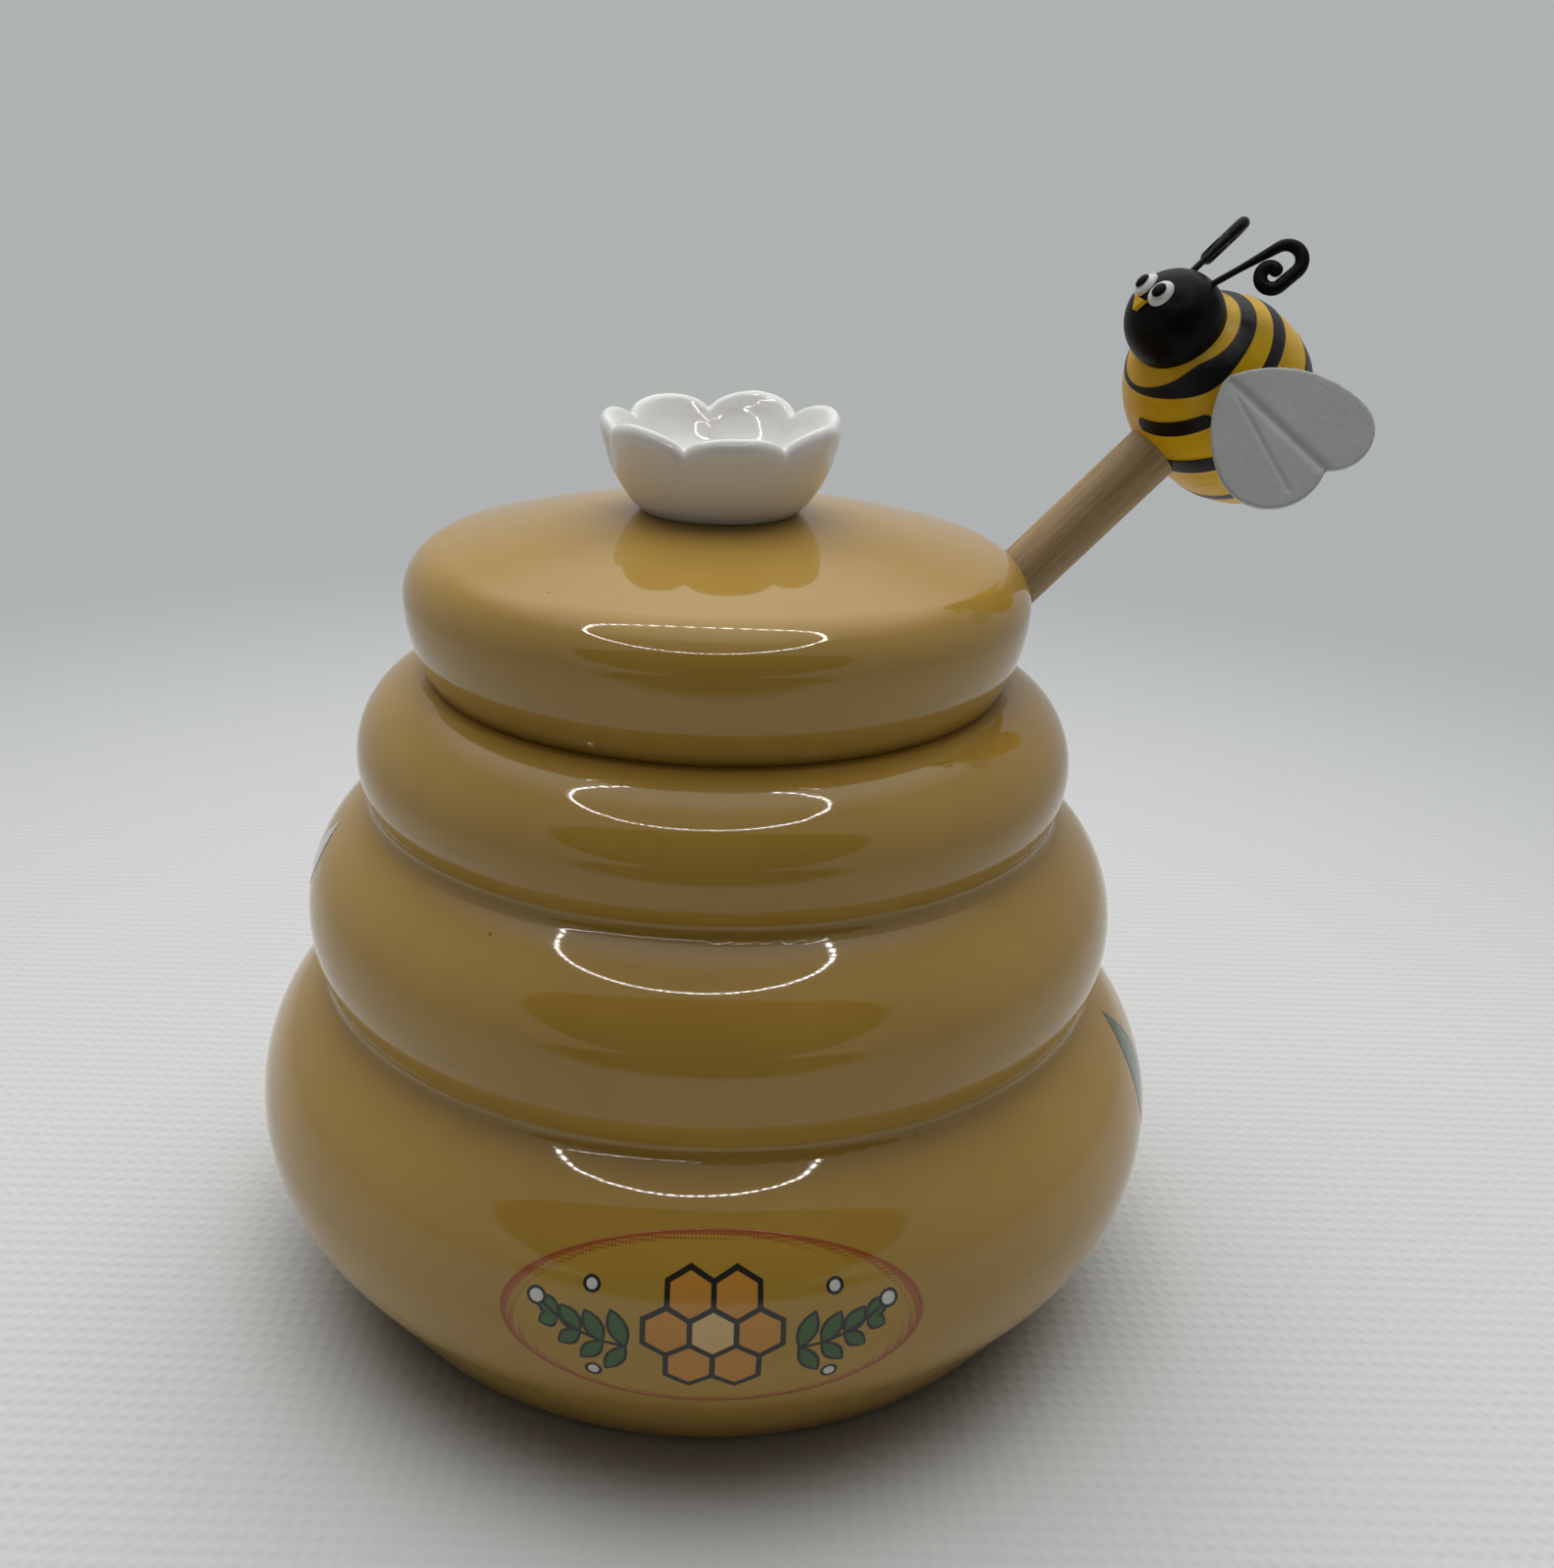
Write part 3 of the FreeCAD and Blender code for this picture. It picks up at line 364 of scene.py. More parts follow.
# %% The bee's frame
ROD_RADIUS = 3.65
rod_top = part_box("dipper_rod")[1]
bee_middle = Vector(rod_top[k] - ROD_RADIUS * MM * math.sqrt(1 - rod_axis[k] ** 2) for k in range(3))
head_low, head_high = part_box("bee_head")
to_head = (head_low + head_high) / 2 - bee_middle
forward = to_head.normalized()
bee_left = rod_axis.cross(forward)
bee_frame = Matrix.Translation(bee_middle) @ Matrix((forward, bee_left, rod_axis)).transposed().to_4x4()
head_reach = to_head.length / MM
head_radius = (head_high.x - head_low.x) / 2 / MM
print("head is", round(head_reach, 2), "mm ahead, radius", round(head_radius, 2))

# %% [markdown]
# The body is an egg, blunt in front and longer behind, with hand-painted black rings that stand a hair
# proud of the yellow. The rings are stored as a distance on each point of the mesh, so the paint's edge
# stays crisp at any size and the same distance raises the paint. Two rings go all the way round. Each of
# the two between them is two strokes, a short one below and a long one over the back.

# %% Bee body: the rings
BEE_FRONT, BEE_TAIL, BEE_RADIUS = 13.1, 18.5, 11.2
WHOLE_RING, STROKE_REACH = 180, 25
LOW_STROKE_AT, BACK_STROKE_AT, BACK_STROKE_TIMES = 149, -20, 3.9
FAR_OFF = 9.0


def turn_from(middle, angle):
    """The turn from one angle to another, between -180 and 180 degrees."""
    return (angle - middle + 180) % 360 - 180


def hump(angle, middle, width):
    """A smooth bump of height 1 round one angle."""
    return math.exp(-(turn_from(middle, angle) / width) ** 2)


def band_distance(x, angle):
    """Distance in mm to the nearest ring's edge, negative in the paint; 0 degrees is up, 90 is left."""
    wave = math.sin(math.radians(3 * angle))
    collar_half = 0.75 - 0.45 * hump(angle, 190, 40) + 0.5 * hump(angle, 112, 24)
    # Each ring has its middle along the body, half its width, and how far round it reaches.
    rings = ((9.6 - 0.6 * hump(angle, 210, 40), collar_half, WHOLE_RING),
             (5.9 - 0.5 * hump(angle, 150, 50) + 0.1 * wave, 0.85 + 0.1 * wave, STROKE_REACH),
             (-0.9 + 0.25 * wave, 1.25 + 0.12 * wave, STROKE_REACH),
             (-9.0 - 0.2 * wave, 0.9 - 0.15 * wave, WHOLE_RING))
    below = abs(turn_from(LOW_STROKE_AT, angle))
    above = abs(turn_from(BACK_STROKE_AT, angle))
    nearest = FAR_OFF
    for middle, half, reach in rings:
        past = max(min(below - reach, above - BACK_STROKE_TIMES * reach), 0) * math.radians(BEE_RADIUS)
        nearest = min(nearest, math.hypot(x - middle, past) - half)
    return nearest


print("on top, the first ring's middle is", round(band_distance(9.6, 0), 2), "mm inside the paint's edge")

# %% Bee body: the egg
PAINT_PROUD = 0.14


def bee_point(x, y, z):
    """A place in the bee's frame, in mm."""
    return bee_frame @ Vector((x * MM, y * MM, z * MM))


def egg_point(u, v):
    """A point of the egg: round it by u, and from the front to the tail by v."""
    angle, polar = u * math.tau, v * math.pi
    x = math.cos(polar) * (BEE_FRONT if polar < math.pi / 2 else BEE_TAIL)
    out = BEE_RADIUS * math.sin(polar)
    proud = 1 + PAINT_PROUD / BEE_RADIUS * smoothstep(0.35, -0.15, band_distance(x, math.degrees(angle)))
    return bee_point(x, out * math.sin(angle) * proud, out * math.cos(angle) * proud)


bee = rolled_grid("bee_coat", 160, 240, egg_point)
band = bee.data.attributes.new("band", "FLOAT", "POINT")
to_bee = bee_frame.inverted()
for point in bee.data.vertices:
    x, y, z = to_bee @ point.co / MM
    band.data[point.index].value = band_distance(x, math.degrees(math.atan2(y, z)))
print("bee coat has", len(bee.data.vertices), "points with a distance to the paint")

# %% Bee body: the paint
BEE_PALE, BEE_DEEP = (0.80, 0.485, 0.011), (0.71, 0.41, 0.008)
BEE_BLACK = (0.004, 0.004, 0.0045)
PAINT_EDGE = 0.05


def inside(tree, name):
    """A mask of 1 where the distance that the mesh stores under a name is negative."""
    distance = add_node(tree, "Attribute", {"attribute_name": name})
    return in_range(tree, distance.outputs["Fac"], PAINT_EDGE, -PAINT_EDGE)


tree, shader, group = coated("bee_paint", BEE_PALE, BEE_DEEP, roughness=0.34,
                             patch_scale=250.0, skin_scale=900.0, skin_depth=0.08)
shader.inputs["Specular IOR Level"].default_value = 0.2
ringed = mix_colours(tree, inside(tree, "band"), group.outputs["Color"], BEE_BLACK)
link(tree, (ringed, shader.inputs["Base Color"]))
dress(bee, "bee_paint", "dipper", "bee_yellow", "bee_body")

# %% [markdown]
# The head, nose, eyes and pupils are small rounded solids that are right as they are. They get the same
# hand paint in black, yellow and white.

# %% Paint for the head and the face
_, shader, _ = coated("bee_black", BEE_BLACK, (0.003, 0.003, 0.003), roughness=0.34,
                      patch_scale=300.0, skin_scale=700.0, skin_depth=0.08)
shader.inputs["Specular IOR Level"].default_value = 0.07
coated("bee_yellow", BEE_PALE, BEE_DEEP, roughness=0.35,
       patch_scale=250.0, skin_scale=900.0, skin_depth=0.05)
coated("eye_white", (0.82, 0.82, 0.81), (0.76, 0.76, 0.75), roughness=0.25,
       patch_scale=500.0, skin_scale=900.0, skin_depth=0.05)
wear("bee_black", "bee_head", "bee_pupil_left", "bee_pupil_right")
wear("bee_yellow", "bee_nose")
wear("eye_white", "bee_eye_left", "bee_eye_right")

# %% [markdown]
# Each antenna is a wire hammered thicker towards its end and rolled into a curl. The path is the CAD
# wire's: up, over, and under into the curl. A round section that grows along the path makes the taper,
# which a plain pipe lacks.

# %% Antennae: the path of the wire
TOP_ARC, TOP_AT = 1.8, Vector((4.3, 8.6))
LOW_ARC, LOW_AT = 1.35, Vector((4.6, 6.2))
CURL_ARC, CURL_SHRINK, CURL_ASIDE, CURL_STEP = 1.0, 0.025, Vector((-0.35, 0.1)), 0.16
ARC_STEPS, STALK_STEPS = 24, 12


def on_circle(middle, radius, angle):
    """A point on a circle."""
    return middle + radius * Vector((math.cos(angle), math.sin(angle)))


def antenna_path():
    """Points of the wire in its own plane, from the head to the tip of the curl."""
    rise = math.atan2(TOP_AT.y, TOP_AT.x) + math.pi - math.acos(TOP_ARC / TOP_AT.length)
    between = TOP_AT - LOW_AT
    fall = math.atan2(between.y, between.x) - math.acos((LOW_ARC - TOP_ARC) / between.length)
    shares = [k / ARC_STEPS for k in range(ARC_STEPS + 1)]
    over = [on_circle(TOP_AT, TOP_ARC, rise + (fall - rise) * share) for share in shares]
    under = [on_circle(LOW_AT, LOW_ARC, fall + (-math.pi - fall) * share) for share in shares]
    curl = [on_circle(LOW_AT + CURL_ASIDE, CURL_ARC - CURL_SHRINK * k, -math.pi - CURL_STEP * k)
            for k in range(2, 11)]
    stalk = [over[0] * (k / STALK_STEPS) for k in range(STALK_STEPS)]
    return stalk + over + under[1:] + curl


wire = antenna_path()
run = [0.0]
for before, after in zip(wire, wire[1:]):
    run.append(run[-1] + (after - before).length)
print("antenna wire is", round(run[-1], 1), "mm long")

# %% Antennae: the two wires
ANTENNA_SINK = 1.0
SPREAD, LIFT, SPLAY = 43, 56, 49
WIRE_THIN, WIRE_GROWS = 0.40, 0.42
CAP_SHARE = 0.05


def wire_place(share):
    """Point, heading and thickness of the wire at a share of its length."""
    want = min(share, 0.9999) * run[-1]
    k = next(n for n in range(len(run) - 1) if run[n + 1] > want)
    part = (want - run[k]) / (run[k + 1] - run[k])
    lead = wire[min(k + 2, len(wire) - 1)] - wire[max(k - 1, 0)]
    thick = WIRE_THIN + WIRE_GROWS * smoothstep(0.15, 0.6, share)
    return wire[k].lerp(wire[k + 1], part), lead.normalized(), thick


def antenna_frame(sign):
    """The plane of one wire: from the bee's middle to the head's skin, and turned outward there."""
    to_head_middle = Matrix.Translation((head_reach * MM, 0, 0))
    to_head_skin = Matrix.Translation(((head_radius - ANTENNA_SINK) * MM, 0, 0))
    return (bee_frame @ to_head_middle @ turned(SPREAD * sign, "Z") @ turned(-LIFT, "Y")
            @ to_head_skin @ turned(LIFT, "Y") @ turned((180 - SPLAY - SPREAD) * sign, "Z"))


for side, sign in (("left", 1), ("right", -1)):
    own_frame = antenna_frame(sign)

    def horn_point(u, v):
        """A point of the wire's skin: round it by u, and along it by v, with a rounded cap at each end."""
        share = min(max((v - CAP_SHARE) / (1 - 2 * CAP_SHARE), 0), 1)
        middle, heading, thick = wire_place(share)
        past = (v - CAP_SHARE) / CAP_SHARE if v < CAP_SHARE else max((v - 1 + CAP_SHARE) / CAP_SHARE, 0)
        thick_here = thick * math.sqrt(max(1 - past * past, 0))
        angle = u * math.tau
        normal = Vector((-heading.y, heading.x))
        flat = middle + heading * thick * past + normal * thick_here * math.cos(angle)
        return own_frame @ (Vector((flat.x, thick_here * math.sin(angle), flat.y)) * MM)

    horn = rolled_grid(f"antenna_{side}", 24, 160, horn_point)
    dress(horn, "bee_black", "dipper", "bee_black", f"bee_antenna_{side}")

# %% [markdown]
# The wings are thin cast plates with two lobes, rounded at the rim, and a pressed vein that runs from the
# shoulder to the notch. The outline is the CAD wing's. A copy is remeshed finely and smoothed, which
# rounds its rim, and the points near the veins are then pressed in.

# %% Wings: the notch and the veins
FORE_AT, FORE_ARC = Vector((13.1, 4.2)), 4.6
HIND_AT, HIND_ARC = Vector((10.3, -2.5)), 6.3
step = HIND_AT - FORE_AT
half_way = (FORE_ARC ** 2 - HIND_ARC ** 2 + step.length ** 2) / (2 * step.length)
aside = math.sqrt(FORE_ARC ** 2 - half_way ** 2)
NOTCH = FORE_AT + step.normalized() * half_way + Vector((-step.y, step.x)).normalized() * aside
# Each vein has its start, its end, its depth and its width.
VEINS = ((Vector((0.9, 0.3)), NOTCH, 0.34, 0.50),
         (Vector((1.6, -0.3)), Vector((14.6, -4.0)), 0.16, 0.28))
print("the wing's notch is at", [round(v, 1) for v in NOTCH], "mm")

# %% Wings: the two plates
# Each shoulder has its side, its place in the bee's frame (ahead, out, up) and the angle of its flare.
SHOULDERS = {"left": (1, 8.6, 8.7, -1.4, 50), "right": (-1, 4.2, 10.2, 4.0, 40)}
WING_THICK = 1.2
WING_GRAIN = 0.17
CAD_WELD = 1e-6


def apply_all(piece):
    """Apply every modifier of a piece."""
    bpy.context.view_layer.objects.active = piece
    for modifier in list(piece.modifiers):
        bpy.ops.object.modifier_apply(modifier=modifier.name)


def to_line(spot, start, end):
    """Distance from a spot to a straight line between two points."""
    share = min(max((spot - start).dot(end - start) / (end - start).length_squared, 0), 1)
    return (spot - start.lerp(end, share)).length


coated("wing_white", (0.54, 0.545, 0.545), (0.49, 0.495, 0.495), roughness=0.48,
       patch_scale=220.0, skin_scale=1500.0, skin_depth=0.06)
for side, (sign, ahead, out, up, flare) in SHOULDERS.items():
    wing = bpy.data.objects.new(f"wing_{side}", frame["nodes"][f"bee_wing_{side}"].data.copy())
    bpy.context.scene.collection.objects.link(wing)
    bpy.ops.object.select_all(action="DESELECT")
    wing.select_set(True)
    bpy.context.view_layer.objects.active = wing
    finish_mesh(CAD_WELD)
    wing.modifiers.new("skin", "REMESH").voxel_size = WING_GRAIN * MM
    rounding = wing.modifiers.new("rounding", "SMOOTH")
    rounding.factor, rounding.iterations = 0.5, 10
    apply_all(wing)
    own_frame = (bee_frame @ Matrix.Translation(Vector((ahead, out * sign, up)) * MM)
                 @ turned((180 - flare) * sign, "Z") @ turned(90, "X"))
    to_wing = own_frame.inverted()
    for point in wing.data.vertices:
        x, y, z = to_wing @ point.co / MM
        press = sum(depth * math.exp(-(to_line(Vector((x, y)), start, end) / width) ** 2)
                    for start, end, depth, width in VEINS)
        z -= math.copysign(press, z) if abs(z) > WING_THICK / 4 else 0
        point.co = own_frame @ (Vector((x, y, z)) * MM)
    bpy.ops.object.shade_smooth()
    dress(wing, "wing_white", "dipper", "wing_white", f"bee_wing_{side}")

# %% [markdown]
# A transfer print sits under the shine of the belly: an oval with a warm red border that fades inward, a
# pale field and a small drawing. It is a thin patch that follows the belly's curve. Each shape of the
# drawing is stored as a distance on the patch's points, in mm, so its outline is sharp however close the
# camera comes.

# %% Oval print: the patch
BELLY_HEIGHT, BELLY_RADIUS = 23.7, 60.0
BELLY_LOW_ARC, BELLY_TOP_ARC = 20.5, 21.5
OVAL_HALF_WIDTH, OVAL_HALF_HEIGHT = 23.6, 10.6
OVAL_ASIDE, OVAL_MIDDLE = 1.7, 25.7
PRINT_PROUD = 0.03


def belly_radius(z):
    """The belly's radius at a height: an arc below its widest place and another above."""
    arc = BELLY_TOP_ARC if z > BELLY_HEIGHT else BELLY_LOW_ARC
    return BELLY_RADIUS - arc + math.sqrt(arc ** 2 - (z - BELLY_HEIGHT) ** 2)


def on_belly(across, height):
    """The place on the belly's front at a distance round the pot and a height, just proud of the glaze."""
    radius = belly_radius(height) + PRINT_PROUD
    angle = across / BELLY_RADIUS
    return Vector((radius * math.sin(angle), -radius * math.cos(angle), height)) * MM


def oval_point(u, v):
    """Carry a square to a disc, stretch it to the oval and lay it on the belly."""
    x, y = 2 * u - 1, 2 * v - 1
    across = OVAL_HALF_WIDTH * x * math.sqrt(1 - y * y / 2)
    up = OVAL_HALF_HEIGHT * y * math.sqrt(1 - x * x / 2)
    return on_belly(OVAL_ASIDE + across, OVAL_MIDDLE + up)


oval = rolled_grid("oval_print", 260, 170, oval_point)
print("oval print has", len(oval.data.vertices), "points")

# %% [markdown]
# The drawing is a plain honeycomb of seven cells with a leafy twig on each side, a motif as old as
# printed jars. Six-sided cells come from three directions, a leaf from two curves that meet at its tips,
# and a berry from a circle.

# %% Oval print: the shapes of the drawing
CELL = 2.5
TWIG_FROM, TWIG_STEP, TWIG_LOW, TWIG_CURVE = 9.3, 2.5, -2.2, 0.275
TWIG_JOINTS = 4


def heading(angle):
    """The way that an angle points, in the print's plane."""
    return Vector((math.cos(angle), math.sin(angle)))


def twig_place(k):
    """A joint of the twig, counted from the comb."""
    return Vector((TWIG_FROM + TWIG_STEP * k, TWIG_LOW + TWIG_CURVE * k * k))


sixth = math.pi / 3
cells = [Vector((0, 0))] + [heading(k * sixth) * CELL * 2 for k in range(6)]
leaves, stems = [], []
for k in range(TWIG_JOINTS):
    base = twig_place(k)
    stems.append((base, twig_place(k + 1)))
    leaves.append((base, math.radians(68 - 8 * k), 4.6 - 0.5 * k, 2.0))
    leaves.append((base, math.radians(-58 + 10 * k), 4.2 - 0.6 * k, 1.8))
berries = [(stems[-1][1], 0.95), (Vector((13.2, 4.6)), 0.8), (Vector((12.9, -6.2)), 0.8)]
print("each twig has", len(leaves), "leaves and", len(berries), "berries")

# %% Oval print: the distances
INK = 0.24
FINE_INK, BOLD_INK = INK * 0.8, INK * 1.3
PRINT_THICK = 0.06


def cell_distance(spot, middle):
    """Distance to the outline of a six-sided cell, negative inside."""
    off = spot - middle
    return max(abs(off.dot(heading(k * sixth))) for k in range(3)) - CELL


def leaf_distance(spot, base, angle, length, width):
    """Distance to the outline of a leaf, negative inside."""
    way = heading(angle)
    off = spot - base - way * (length / 2)
    along, across = off.dot(way), off.dot(Vector((-way.y, way.x)))
    return abs(across) - width / 2 * (1 - (2 * along / length) ** 2)


def drawing(across, up):
    """Distances in mm to the inked lines, the leaves, the comb, the berries and the middle cell."""
    spot = Vector((abs(across), up))
    comb = [cell_distance(Vector((across, up)), middle) for middle in cells]
    leaf = min(leaf_distance(spot, *shape) for shape in leaves)
    berry = min((spot - middle).length - radius for middle, radius in berries)
    stem = min(to_line(spot, *shape) for shape in stems) - FINE_INK
    twig = max(min(abs(leaf) - FINE_INK, stem), -berry)
    lines = min(min(abs(d) for d in comb) - BOLD_INK, abs(berry) - FINE_INK, twig)
    return lines, leaf, min(comb), berry, comb[0]


shapes = {"lines": [], "leaf": [], "comb": [], "berry": [], "middle_cell": [], "rim": []}
for point in oval.data.vertices:
    x, y, z = point.co / MM
    across, up = math.atan2(x, -y) * BELLY_RADIUS - OVAL_ASIDE, z - OVAL_MIDDLE
    rim = math.hypot(across / OVAL_HALF_WIDTH, up / OVAL_HALF_HEIGHT)
    for store, value in zip(shapes.values(), (*drawing(across, up), rim)):
        store.append(value)
for name, values in shapes.items():
    oval.data.attributes.new(name, "FLOAT", "POINT").data.foreach_set("value", values)
oval.modifiers.new("thickness", "SOLIDIFY").thickness = PRINT_THICK * MM
apply_all(oval)
bpy.ops.object.shade_smooth()
print("oval print stores", ", ".join(shapes))

# %% [markdown]
# The print's colours are laid over one another as a printer would: pale field, comb, leaves, berries,
# ink, and the red border last. The border is made of fine dots that thin out towards the field, with a
# solid line near its outer edge.

# %% Oval print: the colours
PRINT_INK = (0.022, 0.020, 0.016)
DOT_SCALE, DOT_REACH, DOT_SOFT = 2600.0, 1.1, 0.15
tree, shader = new_material("oval_print", 0.10)
field = coat_group(tree, (0.47, 0.285, 0.042), (0.43, 0.255, 0.034), 60.0, 55.0, 0.012)
colour = field.outputs["Color"]
for name, tone in (("comb", (0.60, 0.27, 0.04)), ("middle_cell", (0.72, 0.50, 0.20)),
                   ("leaf", (0.05, 0.13, 0.035)), ("berry", (0.70, 0.68, 0.62)), ("lines", PRINT_INK)):
    colour = mix_colours(tree, inside(tree, name), colour, tone)
rim = add_node(tree, "Attribute", {"attribute_name": "rim"}).outputs["Fac"]
where = add_node(tree, "TexCoord")
dots = add_node(tree, "TexVoronoi", Scale=DOT_SCALE, Randomness=0.0)
link(tree, (where.outputs["Object"], dots.inputs["Vector"]))
fade = in_range(tree, rim, 0.87, 1.01)
apart = reckon(tree, "SUBTRACT", fade, reckon(tree, "MULTIPLY", dots.outputs["Distance"], DOT_REACH))
cover = in_range(tree, apart, -DOT_SOFT, DOT_SOFT)
edge = in_range(tree, rim, 0.972, 0.985)
colour = mix_colours(tree, cover, colour, (0.36, 0.105, 0.03))
colour = mix_colours(tree, edge, colour, (0.33, 0.085, 0.022))
link(tree, (colour, shader.inputs["Base Color"]), (field.outputs["Normal"], shader.inputs["Normal"]))
dress(oval, "oval_print", "pot", "honey_glaze")

# %% [markdown]
# Two more small prints show at the edges of the pot, one on each side. Here they are single leaves, a
# white one and a green one, with an inked edge and a middle vein. Each follows the CAD wall, found by
# looking inward from outside.

# %% Side prints
# Each leaf has its bearing round the pot, its height, its length, its width and its colour.
SIDE_PRINTS = {"left_leaf": (-79, 57.0, 9.0, 7.0, (0.72, 0.70, 0.64)),
               "right_leaf": (75, 31.0, 17.0, 8.0, (0.07, 0.12, 0.05))}
LOOK_FROM = 100
SHADE_SHARE = 0.85
pot = frame["nodes"]["pot_body"]
for name, (bearing, height, length, width, tone) in SIDE_PRINTS.items():
    def leaf_point(u, v):
        """A leaf that stands upright: widest in the middle, pointed above and below."""
        along = 2 * v - 1
        angle = math.radians(bearing) + (u - 0.5) * width * (1.001 - along * along) / BELLY_RADIUS
        outward = Vector((math.sin(angle), -math.cos(angle), 0))
        up = Vector((0, 0, (height + along * length / 2) * MM))
        _, place, normal, _ = pot.ray_cast(outward * LOOK_FROM * MM + up, -outward)
        return place + normal * PRINT_PROUD * MM

    leaf = rolled_grid(name, 40, 40, leaf_point)
    print(name, "is", [round(size / MM, 1) for size in leaf.dimensions], "mm")
    tree, shader = new_material(name, 0.10)
    field = coat_group(tree, tone, tuple(SHADE_SHARE * part for part in tone), 200.0, 55.0, 0.012)
    where = add_node(tree, "TexCoord")
    parts = add_node(tree, "SeparateXYZ")
    link(tree, (where.outputs["UV"], parts.inputs["Vector"]))
    aside = reckon(tree, "ABSOLUTE", reckon(tree, "SUBTRACT", parts.outputs["X"], 0.5))
    vein = in_range(tree, aside, 0.030, 0.018)
    edge = in_range(tree, aside, 0.38, 0.40)
    colour = mix_colours(tree, vein, field.outputs["Color"], PRINT_INK)
    colour = mix_colours(tree, edge, colour, PRINT_INK)
    link(tree, (colour, shader.inputs["Base Color"]), (field.outputs["Normal"], shader.inputs["Normal"]))
    dress(leaf, name, "pot", "honey_glaze")

# %% [markdown]
# The pot stands on a pale woven cloth that runs up behind it. Two crossed waves make the weave. Further
# off the cloth blends into the plain backdrop, so no horizon shows. In front of the pot the cloth carries a
# painted shade: a dark oval that only reflections see, which stands for the shade in front of the pot. It
# gives each bulge a painted dark reflection, its dark lens.

# %% Floor: the cloth
FLOOR_RADIUS = 1.5
CLOTH = (0.59, 0.60, 0.60)
THREAD_SCALE = 150.0
bpy.ops.object.select_all(action="DESELECT")
bpy.ops.mesh.primitive_circle_add(vertices=128, radius=FLOOR_RADIUS, fill_type="NGON", location=(0, 0, 0))
floor = bpy.context.object
floor.name = floor.data.name = "floor"
tree, shader = new_material("floor_cloth", 0.9)
shader.inputs["Base Color"].default_value = (*CLOTH, 1)
spot = add_node(tree, "TexCoord").outputs["Object"]
threads = []
for way in ("X", "Y"):
    wave = add_node(tree, "TexWave", {"wave_type": "BANDS", "bands_direction": way}, Scale=THREAD_SCALE,
                    Distortion=0.8, Detail=1.0)
    link(tree, (spot, wave.inputs["Vector"]))
    threads.append(wave.outputs["Fac"])
relief = add_node(tree, "Bump", Strength=0.35, Distance=0.0004)
link(tree, (reckon(tree, "MULTIPLY", *threads), relief.inputs["Height"]),
     (relief.outputs["Normal"], shader.inputs["Normal"]))
print("floor is", round(floor.dimensions.x, 2), "m across")

# %% Floor: the backdrop and the painted shade oval
BACKDROP = (0.43, 0.445, 0.45)
CLOTH_ENDS = (0.12, 0.40)
SHADE_OVAL_MIDDLE, SHADE_OVAL_HALF = (0, -0.85, 0), (0.4545, 0.65, 0)
PAINTED_SHADE_COLOUR = (0.03, 0.03, 0.03)


def length_of(tree, vector):
    """The length of a vector."""
    node = add_node(tree, "VectorMath", {"operation": "LENGTH"})
    link(tree, (vector, node.inputs[0]))
    return node.outputs["Value"]


def in_oval(tree, vector, middle, half, outer, inner):
    """A mask of 1 in an oval, which a Mapping node makes a unit circle; a half of 0 drops that axis."""
    scale = [1 / size if size else 0 for size in half]
    mapping = add_node(tree, "Mapping", Location=[-m * s for m, s in zip(middle, scale)], Scale=scale)
    link(tree, (vector, mapping.inputs["Vector"]))
    return in_range(tree, length_of(tree, mapping.outputs["Vector"]), outer, inner, smooth=True)


def mix_shaders(tree, mask, first, second):
    """Mix two shaders by a mask."""
    mix = add_node(tree, "MixShader")
    link(tree, (mask, mix.inputs["Fac"]), (first, mix.inputs[1]), (second, mix.inputs[2]))
    return mix.outputs["Shader"]


far = in_range(tree, length_of(tree, spot), *CLOTH_ENDS, smooth=True)
glow = add_node(tree, "Emission", Color=(*BACKDROP, 1))
blend = mix_shaders(tree, far, shader.outputs["BSDF"], glow.outputs["Emission"])
seen = add_node(tree, "LightPath")
# Painted shade: a dark oval on the cloth in front of the pot, seen only by reflections as a dark lens.
shade_oval_mask = in_oval(tree, spot, SHADE_OVAL_MIDDLE, SHADE_OVAL_HALF, 1.04, 0.92)
shade_oval_reflected = reckon(tree, "MULTIPLY", shade_oval_mask, seen.outputs["Is Glossy Ray"])
painted_shade_emission = add_node(tree, "Emission", Color=(*PAINTED_SHADE_COLOUR, 1))
surface = mix_shaders(tree, shade_oval_reflected, blend, painted_shade_emission.outputs["Emission"])
link(tree, (surface, tree.nodes["Material Output"].inputs["Surface"]))
floor.data.materials.append(bpy.data.materials["floor_cloth"])
print("floor's cloth has", len(tree.nodes), "nodes")

# %% [markdown]
# A ring of small lamps hangs above and a little in front, and leaves an oval of beads on every bulge. A
# thin torus stands for it, with a light that pulses round its circle. It shows in reflections only,
# because the light that falls on the pot comes from the tent.

# %% Ring of lamps
RING_RADIUS, RING_WIRE = 0.15, 0.0018
RING_PLACE = Vector((-0.016, -0.132, 0.33))
BEADS, BEAD_LIGHT, BETWEEN_LIGHT = 64, 60.0, 1.0
bpy.ops.object.select_all(action="DESELECT")
bpy.ops.mesh.primitive_torus_add(major_radius=RING_RADIUS, minor_radius=RING_WIRE, major_segments=96,
                                 minor_segments=12, location=RING_PLACE)
ring = bpy.context.object
ring.name = ring.data.name = "ring_lamp"
bpy.ops.object.transform_apply(location=True, rotation=True, scale=True)
tree, _ = new_material("ring_light", 0.5)
where = add_node(tree, "TexCoord")
centre = add_node(tree, "Mapping", Location=(-RING_PLACE.x, -RING_PLACE.y, 0))
parts = add_node(tree, "SeparateXYZ")
link(tree, (where.outputs["Object"], centre.inputs["Vector"]),
     (centre.outputs["Vector"], parts.inputs["Vector"]))
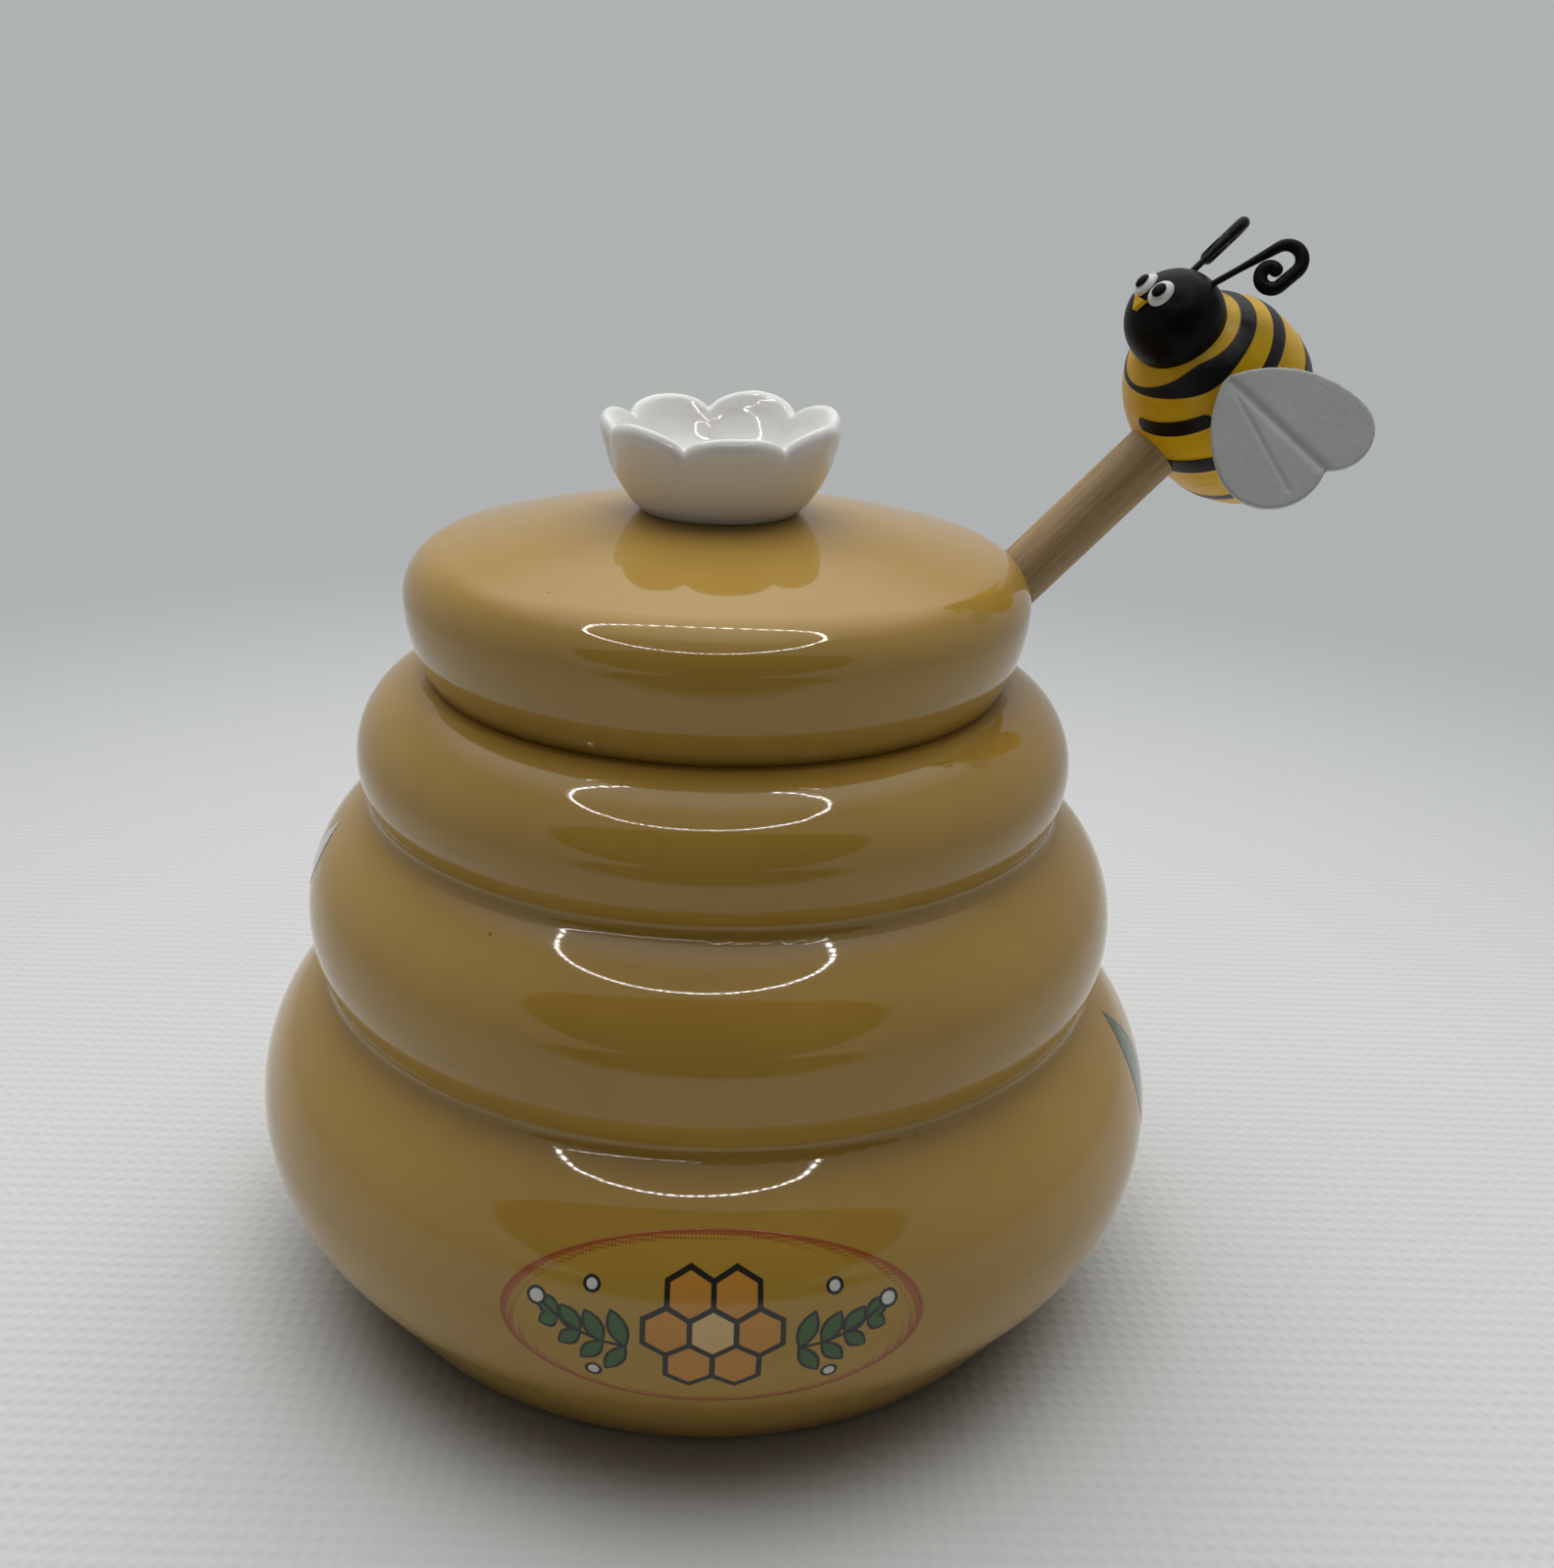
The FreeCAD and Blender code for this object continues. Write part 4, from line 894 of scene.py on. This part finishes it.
bearing = reckon(tree, "ARCTAN2", parts.outputs["Y"], parts.outputs["X"])
within = reckon(tree, "FRACT", reckon(tree, "MULTIPLY", bearing, BEADS / math.tau))
pulse = in_range(tree, within, 0.55, 0.65, BEAD_LIGHT, BETWEEN_LIGHT)
lamp = add_node(tree, "Emission", Color=(1, 0.98, 0.95, 1))
link(tree, (pulse, lamp.inputs["Strength"]),
     (lamp.outputs["Emission"], tree.nodes["Material Output"].inputs["Surface"]))
ring.data.materials.append(bpy.data.materials["ring_light"])
ring.visible_camera = ring.visible_diffuse = False
print("ring lamp hangs", round(ring.bound_box[0][2] / MM), "mm up")

# %% [markdown]
# All round stands a white tent of light, made in the world's own nodes. Its walls are pale, and its front
# is open where the camera looks in. The opening is an oval, dark to reflections, and the whole front
# lights the pot hardly at all.

# %% Tent of light: the walls and the opening
TENT_WALLS, TENT_FRONT, TENT_GAP = (0.42, 0.43, 0.44), (0.50, 0.50, 0.48), (0.02, 0.02, 0.02)
GAP_MIDDLE, GAP_HALF = (0, 0, 0.31), (0.74, 0, 0.39)
world = bpy.data.worlds.new("tent")
bpy.context.scene.world = world
world.use_nodes = True
tree = world.node_tree
tree.nodes.clear()
way = add_node(tree, "TexCoord").outputs["Generated"]
parts = add_node(tree, "SeparateXYZ")
link(tree, (way, parts.inputs["Vector"]))
seen = add_node(tree, "LightPath")
gap = in_oval(tree, way, GAP_MIDDLE, GAP_HALF, 1.01, 0.95)
dark = reckon(tree, "MAXIMUM", gap, seen.outputs["Is Diffuse Ray"])
near = mix_colours(tree, dark, TENT_FRONT, TENT_GAP)
front = in_range(tree, parts.outputs["Y"], 0.75, -0.05, smooth=True)
walls = mix_colours(tree, front, TENT_WALLS, near)
print("tent's walls have", len(tree.nodes), "nodes")

# %% [markdown]
# Most of the light falls from the tent's roof, which leans to the back. Reflections see a dimmer roof, so
# that the glaze keeps its colour inside the ring of beads. The camera itself sees the plain backdrop.

# %% Tent of light: the roof
ROOF_LEAN, ROOF_ENDS = 0.36, (0.70, 1.0)
ROOF_LIGHT, ROOF_MIRRORED = (2.92, 2.93, 2.93), (1.45, 1.45, 1.45)
height = reckon(tree, "MULTIPLY_ADD", parts.outputs["Y"], ROOF_LEAN, parts.outputs["Z"])
high = in_range(tree, height, *ROOF_ENDS, smooth=True)
roof = mix_colours(tree, seen.outputs["Is Glossy Ray"], ROOF_LIGHT, ROOF_MIRRORED)
tent = mix_colours(tree, high, walls, roof)
shown = mix_colours(tree, seen.outputs["Is Camera Ray"], tent, BACKDROP)
sky = add_node(tree, "Background")
output = add_node(tree, "OutputWorld")
link(tree, (shown, sky.inputs["Color"]), (sky.outputs["Background"], output.inputs["Surface"]))
print("tent of light has", len(tree.nodes), "nodes")
